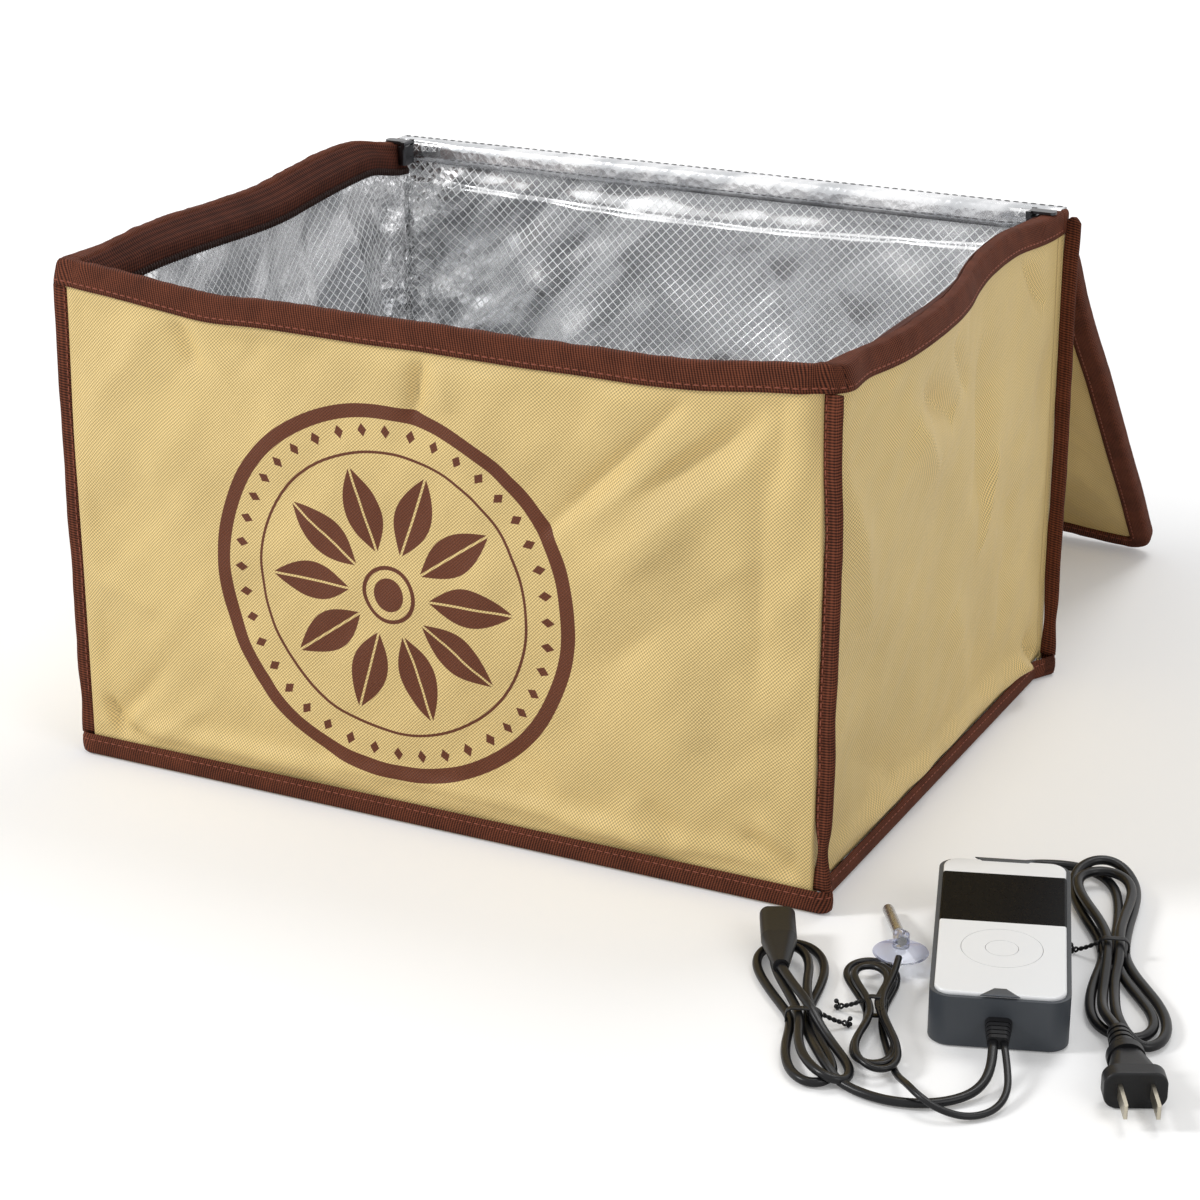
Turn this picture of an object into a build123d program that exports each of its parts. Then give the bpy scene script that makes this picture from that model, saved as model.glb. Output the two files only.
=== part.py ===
from build123d import *
import math
import os

os.makedirs("parts", exist_ok=True)

# Folding dough proofer: an insulated cloth bag with a zipped lid, a heating pad
# and a hand controller with its leads. Millimetres, +Z up, front towards -Y,
# origin on the floor under the centre of the bag.

# ---------------------------------------------------------------- bag sizes
bag_width = 384.0  # between the outer cloth faces of the sides
bag_depth = 314.0  # between the outer cloth faces of front and rear
bag_height = 250.0  # floor to the top of the rim tape
shell_thickness = 1.2  # coated Oxford cloth
liner_thickness = 5.8  # foam sheet with a foil face
tape_thickness = 1.2  # binding tape, folded over an edge
tape_leg = 12.0  # how far the tape reaches from the edge that it binds
foot_tape_height = 11.0  # tape around the bottom edge
flange_width = 8.0  # bound seam that stands out at each upright corner
flange_thickness = 3.4
soft_gap = 0.3  # between soft pieces of different bodies
cut_past = 1.0  # cutters run this far past what they cut

# ---------------------------------------------------------------- zip sizes
zip_tape_thickness = 1.2
zip_tape_drop = 26.0  # rim top down to the coil's lower edge
zip_coil_thickness = 2.0
zip_coil_width = 4.0
slider_length = 11.0
slider_height = 10.0
slider_thickness = 4.4
slider_edge_round = 1.3
slider_lug = 1.4  # cheek on each side of the pull's eye
pull_pin_radius = 0.6
pull_eye_wall = 0.5
pull_play = 0.1
pull_width = 6.4
pull_end_round = 2.5

# ---------------------------------------------------------------- lid sizes
lid_lift = 4.0  # closed lid's foil face above the rim
lid_setback = 11.0  # hinge line to the lid panel's rear edge
lid_corner_radius = 14.0
hinge_behind_wall = 3.0
lid_zip_width = 16.0
strip_thickness = 1.5

# ---------------------------------------------------------------- heater sizes
pad_width = 300.0
pad_thickness = 3.0
pad_corner_radius = 12.0
pad_front_setback = 47.0  # front liner to the pad's front edge
pad_rear_setback = 13.0  # pad's rear edge to the rear liner
inlet_width = 28.0
inlet_height = 18.0
inlet_reach = 24.0  # from the rear liner's foil face inwards
inlet_flange_margin = 3.0
inlet_flange_thickness = 2.0
inlet_fit = 0.3
recess_width = 17.5  # figure-of-eight mouth of the two-pin inlet
recess_height = 9.8
recess_depth = 13.0
pin_radius = 1.2
pin_spacing = 8.6
pin_length = 9.0

# ---------------------------------------------------------------- controller
case_width = 57.0
case_length = 127.0
case_height = 24.0
case_corner_radius = 9.0
case_wall = 1.8
ledge_width = 1.6  # step inside the wall that the cover sits on
ledge_height = 17.0
rim_step = 1.5  # cover stands this much above the back shell's rim
cover_plate = 2.5
cover_fit = 0.15
case_edge_round = 1.0
screen_length = 46.0
screen_top_margin = 14.0  # white cover above the screen
screen_thickness = 1.6
screen_frame = 4.5  # screen edge to the aperture behind it
module_thickness = 3.0
module_margin = 2.5
board_thickness = 1.6
board_height = 12.0
board_margin = 1.5
relay_place = (-5.0, -36.0)
relay_length = 19.0
relay_width = 15.5
relay_height = 3.4
capacitor_place = (12.0, -36.0)
capacitor_radius = 2.5
dial_radius = 16.8
dial_from_centre = 21.6
button_radius = 6.75
key_gap = 0.2
key_thickness = 2.2
key_well_wall = 2.0
ring_travel = 0.5
button_travel = 0.6
key_well = key_thickness + max(ring_travel, button_travel) + key_gap
boss_radius = 3.4
boss_inset_x = 8.0
boss_inset_y = 9.5
screw_radius = 1.15
screw_head_radius = 2.3
screw_head_height = 1.6
screw_length = 15.0
screw_recess = 0.8
screw_play = 0.05
lead_height = 11.0  # axis of both strain reliefs above the floor
relief_flange = 2.5
relief_radius = 4.2
relief_tip_radius = 3.1
relief_length = 10.5
relief_rib = 0.7
relief_play = 0.1
relief_grooves = 3
outlet_grooves = 4
outlet_corner = 2.0  # of the passage through the case wall
outlet_roundness = 0.35  # corner radius as a share of the shorter side
outlet_width = 11.0
outlet_tip_width = 8.6
outlet_thickness = 7.4
outlet_tip_thickness = 5.4
outlet_length = 14.5

# ---------------------------------------------------------------- leads
mains_diameter = 4.5
heater_diameter = 4.0
sensor_diameter = 3.0
tie_width = 3.2
tie_thickness = 1.3
tie_stand = 0.4  # tie's outer face above the strands
plug_flange_width = 25.0
plug_flange_height = 16.0
plug_flange_length = 7.5
plug_body_length = 16.0
plug_waist_width = 13.0
plug_waist_height = 12.0
plug_collar_radius = 7.8
plug_collar_length = 4.5
plug_relief_length = 18.0
plug_relief_radius = 5.9
plug_relief_tip = 4.6
plug_grooves = 4
plug_groove_width = 1.6
plug_groove_depth = 0.9
plug_body_width = 21.0
plug_body_height = 15.0
plug_roundness = 0.35
plug_edge_round = 1.0
blade_spacing = 12.7
blade_width = 6.35
blade_thickness = 1.5
blade_length = 16.0
blade_chamfer = 0.45
connector_width = 15.4
connector_height = 9.4
connector_head_length = 22.0
connector_boot_length = 24.0
connector_boot_tip = 6.6
connector_hole_radius = 1.4
connector_hole_depth = 12.0
connector_roundness = 0.42
probe_radius = 2.5
probe_steel_length = 40.0
probe_nose_length = 1.0
probe_nose_radius = 1.5
crimp_radius = 2.0
crimp_length = 12.0
cup_radius = 12.0
cup_height = 2.8
cup_wall = 1.2
cup_neck_radius = 3.6
cup_neck_height = 6.6
cup_neck_round = 1.4
cup_hollow_top_radius = 1.5

# ------------------------------------------------- sizes that follow from these
wall = shell_thickness + liner_thickness
outer_x = bag_width / 2
outer_y = bag_depth / 2
inner_x = outer_x - wall
inner_y = outer_y - wall
wall_bottom = wall + soft_gap  # the walls stand on the base panel
wall_top = bag_height - tape_thickness
rim_bottom = bag_height - tape_leg
zip_bottom = bag_height - zip_tape_drop
rim_stack = tape_thickness + zip_tape_thickness + zip_coil_thickness

# Fold: each side is two half panels. They turn at the corners about lines set
# inside the foil faces by the rim's own thickness, and at the middle about a
# line just outside the cloth, so the halves close on each other and slide the
# front wall straight back to the rear one.
corner_pivot_x = inner_x - rim_stack
corner_pivot_y = inner_y - rim_stack
middle_pivot_x = outer_x + tape_thickness + soft_gap


def block(x0, x1, y0, y1, z0, z1):
    """Box between two corners."""
    middle = Pos((x0 + x1) / 2, (y0 + y1) / 2, (z0 + z1) / 2)
    return middle * Box(x1 - x0, y1 - y0, z1 - z0)


def cross_section(along, distance, width, thickness, roundness, height=0.0):
    """Rounded rectangle across the Y axis, facing along it (1) or against it (-1)."""
    plane = Plane(origin=(0, along * distance, height), x_dir=(-along, 0, 0), z_dir=(0, along, 0))
    return plane * RectangleRounded(width, thickness, min(width, thickness) * roundness)


def save(node, *solids):
    """One STEP file per node; a node may hold several separate solids."""
    pieces = [solid for shape in solids for solid in shape.solids()]
    shape = pieces[0] if len(pieces) == 1 else Compound(children=pieces)
    export_step(shape, f"parts/{node}.step")


def rod(start, end, radius, end_radius=None):
    """Straight cylinder or cone from one point to another."""
    start, end = Vector(*start), Vector(*end)
    along = end - start
    plane = Plane(origin=start, z_dir=along)
    if end_radius is None or end_radius == radius:
        shape = Cylinder(radius, along.length, align=(Align.CENTER, Align.CENTER, Align.MIN))
    else:
        shape = Cone(radius, end_radius, along.length, align=(Align.CENTER, Align.CENTER, Align.MIN))
    return plane.location * shape


def tube(points, diameter, name=""):
    """Round tube on straight runs joined by arcs as large as the runs allow."""
    points = [Vector(*p) for p in points]
    radii = []
    for a, b, c in zip(points, points[1:], points[2:]):
        run = min((b - a).length, (c - b).length)
        turn = math.radians((b - a).get_angle(c - b))
        radii.append(0.45 * run / math.tan(turn / 2))
    path = FilletPolyline(*points, radius=radii)
    section = Plane(origin=path @ 0, z_dir=path % 0) * Circle(diameter / 2)
    solid = sweep(section, path=path)
    if name:
        full = math.pi * diameter**2 / 4 * path.length
        print(
            f"{name}: {path.length:.1f} mm, radii in diameters "
            f"{[round(r / diameter, 1) for r in radii]}, volume ratio {solid.volume / full:.4f}"
        )
    return solid


# ---------------------------------------------------------------- side walls
def side_half():
    """Right rear half of the sides: shell, liner and rim with its zip tape."""
    y0, y1 = soft_gap / 2, inner_y - soft_gap
    shell = block(outer_x - shell_thickness, outer_x, y0, y1, wall_bottom, wall_top)
    liner = block(inner_x, outer_x - shell_thickness, y0, y1, wall_bottom, wall_top)
    rim = block(inner_x - tape_thickness, outer_x + tape_thickness, y0, y1, rim_bottom, bag_height)
    rim -= block(inner_x, outer_x, y0, y1, rim_bottom, wall_top)
    zip_face = inner_x - tape_thickness
    zip_inside = zip_face - zip_tape_thickness
    zip_tape = block(zip_inside, zip_face, y0, corner_pivot_y, zip_bottom, wall_top)
    zip_tape += block(
        zip_inside - zip_coil_thickness,
        zip_inside,
        y0,
        corner_pivot_y,
        zip_bottom,
        zip_bottom + zip_coil_width,
    )
    return {"shell": [shell], "liner": [liner], "rim": [rim, zip_tape]}


def mirrored(shape, left, front):
    """The right rear piece, turned over to the left and to the front."""
    if left:
        shape = mirror(shape, about=Plane.YZ)
    if front:
        shape = mirror(shape, about=Plane.XZ)
    return shape


for left, side in ((True, "left"), (False, "right")):
    for front, end in ((False, "rear"), (True, "front")):
        for piece, solids in side_half().items():
            save(f"{side}_{end}_{piece}", *[mirrored(s, left, front) for s in solids])


# ---------------------------------------------------------------- front wall
def front_wall():
    shell = block(-outer_x, outer_x, -outer_y, shell_thickness - outer_y, wall_bottom, wall_top)
    liner = block(-outer_x, outer_x, shell_thickness - outer_y, -inner_y, wall_bottom, wall_top)
    reach_x, reach_y = outer_x + tape_thickness, outer_y + tape_thickness
    rim = block(-reach_x, reach_x, -reach_y, -inner_y, rim_bottom, bag_height)
    rim -= block(-outer_x, outer_x, -outer_y, -inner_y, rim_bottom, wall_top)
    leg_x = inner_x - tape_thickness - soft_gap
    rim += block(-leg_x, leg_x, -inner_y, tape_thickness - inner_y, rim_bottom, bag_height)
    zip_y = tape_thickness - inner_y
    zip_x = corner_pivot_x - 2 * soft_gap
    zip_tape = block(-zip_x, zip_x, zip_y, zip_y + zip_tape_thickness, zip_bottom, wall_top)
    zip_tape += block(
        -zip_x,
        zip_x,
        zip_y + zip_tape_thickness,
        rim_stack - inner_y,
        zip_bottom,
        zip_bottom + zip_coil_width,
    )
    save("front_shell", shell)
    save("front_liner", liner)
    save("front_rim", rim)
    save("front_zip_tape", zip_tape)


def corner_flange():
    """Bound seam at the right rear corner, in the plane of the rear wall."""
    return block(
        outer_x,
        outer_x + flange_width,
        outer_y - flange_thickness,
        outer_y,
        foot_tape_height + soft_gap,
        rim_bottom - soft_gap,
    )


front_wall()
for front, end in ((False, "rear"), (True, "front")):
    save(f"{end}_corner_bindings", *[mirrored(corner_flange(), left, front) for left in (True, False)])

# ---------------------------------------------------------------- base and pad
pad_top = wall + pad_thickness
pad_front = pad_front_setback - inner_y
pad_length = inner_y - pad_rear_setback - pad_front


def base():
    half_x, half_y = outer_x + soft_gap, outer_y + soft_gap
    shell = block(-half_x, half_x, -half_y, half_y, 0, shell_thickness)
    liner = block(-half_x, half_x, -half_y, half_y, shell_thickness, wall)
    ring = block(
        -half_x - tape_thickness,
        half_x + tape_thickness,
        -half_y - tape_thickness,
        half_y + tape_thickness,
        0,
        foot_tape_height,
    )
    ring -= block(-half_x, half_x, -half_y, half_y, 0, foot_tape_height)
    outline = RectangleRounded(pad_width, pad_length, pad_corner_radius)
    pad = Pos(0, pad_front + pad_length / 2, wall) * extrude(outline, pad_thickness)
    save("base_shell", shell)
    save("base_liner", liner)
    save("base_binding", ring)
    save("heating_pad", pad)


base()

# ---------------------------------------------------------------- rear wall
inlet_z = pad_top + inlet_height / 2  # the inlet's terminal box sits on the pad


def rear_wall():
    hole = block(
        -inlet_width / 2 - inlet_fit,
        inlet_width / 2 + inlet_fit,
        inner_y - cut_past,
        outer_y + cut_past,
        pad_top - inlet_fit,
        pad_top + inlet_height + inlet_fit,
    )
    shell = block(-outer_x, outer_x, outer_y - shell_thickness, outer_y, wall_bottom, wall_top)
    liner = block(-outer_x, outer_x, inner_y, outer_y - shell_thickness, wall_bottom, wall_top)
    save("rear_shell", shell - hole)
    save("rear_liner", liner - hole)


def heater_inlet():
    """Two-pin appliance inlet: flange outside, terminal box on the pad inside."""
    face = outer_y + inlet_flange_thickness
    body = block(
        -inlet_width / 2,
        inlet_width / 2,
        inner_y - inlet_reach,
        outer_y,
        pad_top,
        pad_top + inlet_height,
    )
    body += block(
        -inlet_width / 2 - inlet_flange_margin,
        inlet_width / 2 + inlet_flange_margin,
        outer_y,
        face,
        foot_tape_height + soft_gap,
        pad_top + inlet_height + inlet_flange_margin,
    )
    mouth = Plane(origin=(0, face, inlet_z), x_dir=(1, 0, 0), z_dir=(0, -1, 0))
    body -= extrude(mouth * SlotOverall(recess_width, recess_height), recess_depth)
    back = face - recess_depth
    pins = [
        rod((x, back, inlet_z), (x, back + pin_length, inlet_z), pin_radius)
        for x in (-pin_spacing / 2, pin_spacing / 2)
    ]
    save("heater_inlet", body)
    save("inlet_pins", *pins)


rear_wall()
heater_inlet()

# ---------------------------------------------------------------- lid
# The lid is drawn closed and then thrown open, over the back, until its free
# edge rests on the floor. If it is too short for that, it hangs straight down.
hinge_y = outer_y + hinge_behind_wall
hinge_z = bag_height
lid_front = -outer_y - tape_thickness
lid_rear = hinge_y - lid_setback
lid_reach = hinge_y - lid_front + tape_thickness
lid_outside = lid_lift + wall + tape_thickness
lid_radius = math.hypot(lid_reach, lid_outside)
lid_lean = math.atan2(lid_outside, lid_reach) + math.acos(min(1.0, hinge_z / lid_radius))
lid_angle = 270.0 - math.degrees(lid_lean)


def lid_outline(margin):
    """Lid plan with its front corners rounded, grown or shrunk on three sides."""
    width = 2 * (outer_x + margin)
    length = lid_rear - lid_front + margin
    plan = Pos(0, lid_rear - length / 2) * Rectangle(width, length)
    corners = plan.vertices().group_by(Axis.Y)[0]
    return fillet(corners, max(lid_corner_radius + margin, 0.5))


def lid_layer(margin, low, high):
    return Pos(0, 0, hinge_z + low) * extrude(lid_outline(margin), high - low)


def opened(shape):
    return shape.rotate(Axis((0, hinge_y, hinge_z), (1, 0, 0)), -lid_angle)


def lid_point(along, out):
    """Y and Z of a point of the open lid: along it from the hinge, and out from its foil side."""
    sin, cos = math.sin(lid_lean), math.cos(lid_lean)
    return hinge_y + along * sin - out * cos, hinge_z - along * cos - out * sin


def lid():
    inside, outside = lid_lift, lid_lift + wall
    liner = lid_layer(0, inside, inside + liner_thickness)
    shell = lid_layer(0, inside + liner_thickness, outside)
    bound = tape_thickness - tape_leg
    binding = lid_layer(tape_thickness, inside - tape_thickness, outside + tape_thickness)
    binding -= lid_layer(0, inside, outside)
    binding -= lid_layer(bound, inside - tape_thickness, outside + tape_thickness)
    zip_tape = lid_layer(bound, inside - zip_tape_thickness, inside)
    zip_tape -= lid_layer(bound - lid_zip_width, inside - zip_tape_thickness, inside)
    save("lid_liner", opened(liner))
    save("lid_shell", opened(shell))
    save("lid_binding", opened(binding))
    save("lid_zip_tape", opened(zip_tape))


def hinge_strip():
    """Cloth strip that carries the foil over the rear edge and on to the lid."""
    outline = [
        (inner_y, wall_top),
        (inner_y, bag_height),
        (hinge_y, bag_height),
        lid_point(lid_setback, lid_lift),
        lid_point(lid_setback, lid_lift + strip_thickness),
        (hinge_y - strip_thickness, wall_top),
    ]
    face = make_face(Plane.YZ * Polyline(*outline, close=True))
    save("lid_hinge_strip", extrude(face, outer_x - tape_thickness, both=True))


lid()
hinge_strip()

# ---------------------------------------------------------------- zip sliders
slider_x1 = inner_x - tape_thickness - zip_tape_thickness - soft_gap
slider_x0 = slider_x1 - slider_thickness
slider_y1 = corner_pivot_y - soft_gap
slider_y0 = slider_y1 - slider_length
pull_eye_radius = pull_pin_radius + pull_play + pull_eye_wall
pull_x = slider_x0 + pull_eye_radius
pull_z = bag_height + soft_gap + pull_play
pull_top = pull_z + pull_eye_radius
slider_top = pull_z - pull_eye_radius - soft_gap
slider_travel = slider_y0 - 2 * soft_gap


def zip_slider():
    """Right slider with the two lugs and pin that hold its pull."""
    body = block(slider_x0, slider_x1, slider_y0, slider_y1, slider_top - slider_height, slider_top)
    body = fillet(body.edges().filter_by(Axis.Z), slider_edge_round)
    for y in (slider_y0, slider_y1 - slider_lug):
        lug = (slider_x0, pull_x + pull_eye_radius, y, y + slider_lug, slider_top - cut_past, pull_top)
        body += block(*lug)
    body += rod((pull_x, slider_y0, pull_z), (pull_x, slider_y1, pull_z), pull_pin_radius)
    return body


def zip_pull():
    """Right pull: an eye around the pin and a flat tab that lies over the rim."""
    y0, y1 = slider_y0 + slider_lug + soft_gap / 2, slider_y1 - slider_lug - soft_gap / 2
    middle = (y0 + y1) / 2
    tab = block(
        pull_x,
        outer_x,
        middle - pull_width / 2,
        middle + pull_width / 2,
        bag_height + soft_gap,
        pull_top,
    )
    tab = fillet(tab.edges().filter_by(Axis.Z).group_by(Axis.X)[-1], pull_end_round)
    pull = rod((pull_x, y0, pull_z), (pull_x, y1, pull_z), pull_eye_radius) + tab
    bore = [(pull_x, y0 - cut_past, pull_z), (pull_x, y1 + cut_past, pull_z)]
    return pull - rod(*bore, pull_pin_radius + pull_play)


for left, side in ((True, "left"), (False, "right")):
    save(f"{side}_zip_slider", mirrored(zip_slider(), left, False))
    save(f"{side}_zip_pull", mirrored(zip_pull(), left, False))

# ---------------------------------------------------------------- controller
# Drawn with its own centre at the origin, mains lead towards +Y, then laid on
# the floor beside the bag with its leads around it.
set_x, set_y, set_turn = 286.0, -175.0, 18.3
laid = Location((set_x, set_y, 0), (0, 0, set_turn))
cover_x = case_width / 2 - case_wall - cover_fit
cover_y = case_length / 2 - case_wall - cover_fit
plate_bottom = case_height - cover_plate
screen_y1 = cover_y - screen_top_margin
screen_y0 = screen_y1 - screen_length
boss_x = case_width / 2 - boss_inset_x
boss_y = case_length / 2 - boss_inset_y
boss_places = [(x, y) for x in (-boss_x, boss_x) for y in (-boss_y, boss_y)]


def rounded(width, length, radius, low, high):
    return Pos(0, 0, low) * extrude(RectangleRounded(width, length, radius), high - low)


def controller_back():
    """Dark back shell: wall, inner ledge for the cover, bosses and screw holes."""
    top = case_height - rim_step
    shell = rounded(case_width, case_length, case_corner_radius, 0, top)
    shell = fillet(shell.edges().group_by(Axis.Z)[0], case_edge_round)
    inside = 2 * case_wall
    ledge = inside + 2 * ledge_width
    shell -= rounded(
        case_width - inside, case_length - inside, case_corner_radius - case_wall, ledge_height, top
    )
    shell -= rounded(
        case_width - ledge,
        case_length - ledge,
        case_corner_radius - case_wall - ledge_width,
        case_wall,
        ledge_height,
    )
    for x, y in boss_places:
        shell += rod((x, y, case_wall), (x, y, board_height), boss_radius)
    for x, y in boss_places:
        shell -= rod((x, y, 0), (x, y, board_height), screw_radius + 2 * screw_play)
        shell -= rod((x, y, 0), (x, y, screw_recess + screw_head_height), screw_head_radius + screw_play)
    passage = case_length / 2 + cut_past
    shell -= rod((0, case_length / 4, lead_height), (0, passage, lead_height), relief_tip_radius)
    outlet = Plane(origin=(0, -case_length / 4, lead_height), x_dir=(1, 0, 0), z_dir=(0, -1, 0))
    outlet *= RectangleRounded(outlet_tip_width, outlet_tip_thickness, outlet_corner)
    shell -= extrude(outlet, passage)
    save("controller_back", laid * shell)


def controller_cover():
    """White front cover: plate, skirt, screw posts, screen seat and key well."""
    cover = rounded(2 * cover_x, 2 * cover_y, case_corner_radius - case_wall, ledge_height, case_height)
    cover = fillet(cover.edges().group_by(Axis.Z)[-1], case_edge_round)
    hollow_x, hollow_y = 2 * (cover_x - ledge_width), 2 * (cover_y - ledge_width)
    hollow_radius = case_corner_radius - case_wall - ledge_width
    cover -= rounded(hollow_x, hollow_y, hollow_radius, ledge_height, plate_bottom)
    post_bottom = board_height + board_thickness
    for x, y in boss_places:
        cover += rod((x, y, post_bottom), (x, y, plate_bottom), boss_radius)
    for x, y in boss_places:
        cover -= rod((x, y, post_bottom), (x, y, plate_bottom - cut_past), screw_radius + screw_play)
    well_radius = dial_radius + key_gap
    well_floor = case_height - key_well
    cover += rod(
        (0, -dial_from_centre, well_floor - key_well_wall),
        (0, -dial_from_centre, plate_bottom),
        well_radius + key_well_wall,
    )
    above = case_height + cut_past
    cover -= rod((0, -dial_from_centre, well_floor), (0, -dial_from_centre, above), well_radius)
    seat = case_height - screen_thickness
    cover -= block(-cover_x, cover_x, screen_y0, screen_y1, seat, above)
    cover -= block(
        screen_frame - cover_x,
        cover_x - screen_frame,
        screen_y0 + screen_frame,
        screen_y1 - screen_frame,
        plate_bottom - cut_past,
        seat + cut_past,
    )
    save("controller_cover", laid * cover)


def screen():
    seat = case_height - screen_thickness
    window = block(
        -cover_x,
        cover_x,
        screen_y0 + cover_fit,
        screen_y1 - cover_fit,
        seat,
        case_height,
    )
    window = fillet(window.edges().filter_by(Axis.Y).group_by(Axis.Z)[-1], case_edge_round)
    module = block(
        screen_frame - module_margin - cover_x + ledge_width,
        cover_x - screen_frame + module_margin - ledge_width,
        screen_y0 + screen_frame - module_margin,
        screen_y1 - screen_frame + module_margin,
        plate_bottom - module_thickness,
        plate_bottom,
    )
    save("display_window", laid * window)
    save("display_module", laid * module)


def control_board():
    """Circuit board on the bosses, with a relay block and a capacitor."""
    half_x = case_width / 2 - case_wall - ledge_width - board_margin
    half_y = case_length / 2 - case_wall - ledge_width - relief_flange - board_margin
    corner = case_corner_radius - case_wall - ledge_width
    top = board_height + board_thickness
    board = rounded(2 * half_x, 2 * half_y, corner, board_height, top)
    for x, y in boss_places:
        board -= rod((x, y, board_height), (x, y, top), screw_radius + screw_play)
    x, y = relay_place
    high = top + relay_height
    board += block(
        x - relay_length / 2, x + relay_length / 2, y - relay_width / 2, y + relay_width / 2, top, high
    )
    board += rod((*capacitor_place, top), (*capacitor_place, high), capacitor_radius)
    save("control_board", laid * board)


def keys():
    low = case_height - key_thickness
    centre = (0, -dial_from_centre)
    ring = rod((*centre, low), (*centre, case_height), dial_radius)
    ring -= rod((*centre, low), (*centre, case_height), button_radius + key_gap)
    button = rod((*centre, low), (*centre, case_height), button_radius)
    save("dial_ring", laid * ring)
    save("power_button", laid * button)


def case_screws():
    head_top = screw_recess + screw_head_height
    screws = []
    for x, y in boss_places:
        screw = rod((x, y, screw_recess), (x, y, head_top), screw_head_radius)
        screw += rod((x, y, head_top), (x, y, head_top + screw_length), screw_radius)
        screws.append(laid * screw)
    save("case_screws", *screws)


def mains_strain_relief():
    """Ribbed taper: a flange inside the wall, a neck through it, the taper outside."""
    inner = case_length / 2 - case_wall - ledge_width
    outer = case_length / 2
    relief = rod((0, inner - relief_flange, 0), (0, inner, 0), relief_radius)
    relief += rod((0, inner, 0), (0, outer, 0), relief_tip_radius - relief_play)
    relief += rod((0, outer, 0), (0, outer + relief_length, 0), relief_radius, relief_tip_radius)
    for i in range(relief_grooves):
        y = outer + relief_length * (i + 1) / (relief_grooves + 1)
        groove = rod((0, y, 0), (0, y + relief_rib, 0), relief_radius + cut_past)
        relief -= groove - rod((0, y, 0), (0, y + relief_rib, 0), relief_tip_radius - relief_rib)
    save("mains_strain_relief", laid * Pos(0, 0, lead_height) * relief)


def output_strain_relief():
    """Flat ribbed taper that carries the heater lead and the sensor lead."""
    inner = case_length / 2 - case_wall - ledge_width
    outer = case_length / 2


    def section(distance, width, thickness):
        return cross_section(-1, distance, width, thickness, outlet_roundness, lead_height)

    neck_width = outlet_tip_width - 2 * relief_play
    neck_thick = outlet_tip_thickness - 2 * relief_play
    relief = extrude(section(inner - relief_flange, outlet_width, outlet_thickness), relief_flange)
    relief += extrude(section(inner, neck_width, neck_thick), outer - inner)
    relief += loft(
        [
            section(outer, outlet_width, outlet_thickness),
            section(outer + outlet_length, outlet_tip_width, outlet_tip_thickness),
        ]
    )
    for i in range(outlet_grooves):
        y = outer + outlet_length * (i + 1) / (outlet_grooves + 1)
        around = 2 * cut_past
        groove = extrude(section(y, outlet_width + around, outlet_thickness + around), relief_rib)
        groove -= extrude(
            section(y, outlet_tip_width - relief_rib, outlet_tip_thickness - relief_rib), relief_rib
        )
        relief -= groove
    save("output_strain_relief", laid * relief)


controller_back()
controller_cover()
screen()
control_board()
keys()
case_screws()
mains_strain_relief()
output_strain_relief()

# ---------------------------------------------------------------- leads
# Routes are chosen points in the controller's own frame. The stretch that is
# not coiled is a tube; each tied hank is one closed solid of its outer shape.
mains_exit = case_length / 2 + relief_length
output_exit = case_length / 2 + outlet_length

mains_route = [
    (0.0, mains_exit, lead_height),
    (0.2, 87.3, 8.0),
    (7.0, 98.7, 4.2),
    (18.6, 105.4, 2.3),
    (31.9, 105.0, 2.3),
    (43.0, 98.4, 2.3),
]
heater_route = [
    (-1.9, -output_exit, lead_height),
    (-1.6, -90.0, 7.0),
    (-6.5, -102.5, 3.2),
    (-17.0, -110.5, 2.1),
    (-31.0, -114.5, 2.1),
    (-46.0, -112.5, 2.1),
    (-60.5, -103.5, 2.1),
]
sensor_route = [
    (2.4, -output_exit, lead_height),
    (4.2, -90.0, 7.6),
    (4.8, -103.0, 3.4),
    (0.0, -114.5, 1.6),
    (-10.0, -121.0, 1.6),
    (-21.0, -121.8, 4.4),
    (-29.5, -117.0, 7.4),
    (-34.5, -108.5, 7.4),
    (-38.5, -97.5, 4.0),
    (-41.0, -86.0, 1.6),
]


def hank(outline, loops_height, waist, waist_height, tail, diameter):
    """Tied hank: loops at both ends, a taller waist, and the tail to what it ends in."""
    shape = extrude(make_face(Spline(*outline, periodic=True)), loops_height)
    x0, x1, y0, y1 = waist
    core = block(x0, x1, y0, y1, 0, waist_height)
    shape += fillet(core.edges().filter_by(Axis.Y).group_by(Axis.Z)[-1], diameter / 2)
    return shape + tube(tail, diameter)


def tie(waist, waist_height, middle):
    """Band around the waist, let into it by its own thickness."""
    x0, x1 = waist[:2]
    y0, y1 = middle - tie_width / 2, middle + tie_width / 2
    low, high = x0 - tie_stand, x1 + tie_stand
    top = waist_height + tie_stand
    band = block(low, high, y0, y1, 0, top)
    inside = (low + tie_thickness, high - tie_thickness, y0, y1, tie_thickness, top - tie_thickness)
    return band - block(*inside)


mains_outline = [
    (46.0, 104.5),
    (57.0, 96.0),
    (59.5, 82.0),
    (56.5, 52.0),
    (54.0, 21.6),
    (61.0, -8.0),
    (67.5, -37.0),
    (65.0, -52.0),
    (56.5, -59.0),
    (45.0, -52.0),
    (37.0, -28.0),
    (38.0, 0.0),
    (41.0, 21.6),
    (36.0, 50.0),
    (30.5, 84.0),
    (34.0, 98.0),
]
heater_outline = [
    (-88.0, 13.0),
    (-77.0, 6.5),
    (-72.5, -9.0),
    (-71.5, -35.0),
    (-71.0, -56.8),
    (-63.0, -80.0),
    (-57.0, -96.0),
    (-62.0, -105.0),
    (-74.0, -106.5),
    (-83.0, -98.0),
    (-86.0, -80.0),
    (-86.5, -56.8),
    (-94.5, -35.0),
    (-103.5, -12.0),
    (-103.0, 3.0),
    (-97.0, 11.0),
]
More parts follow.
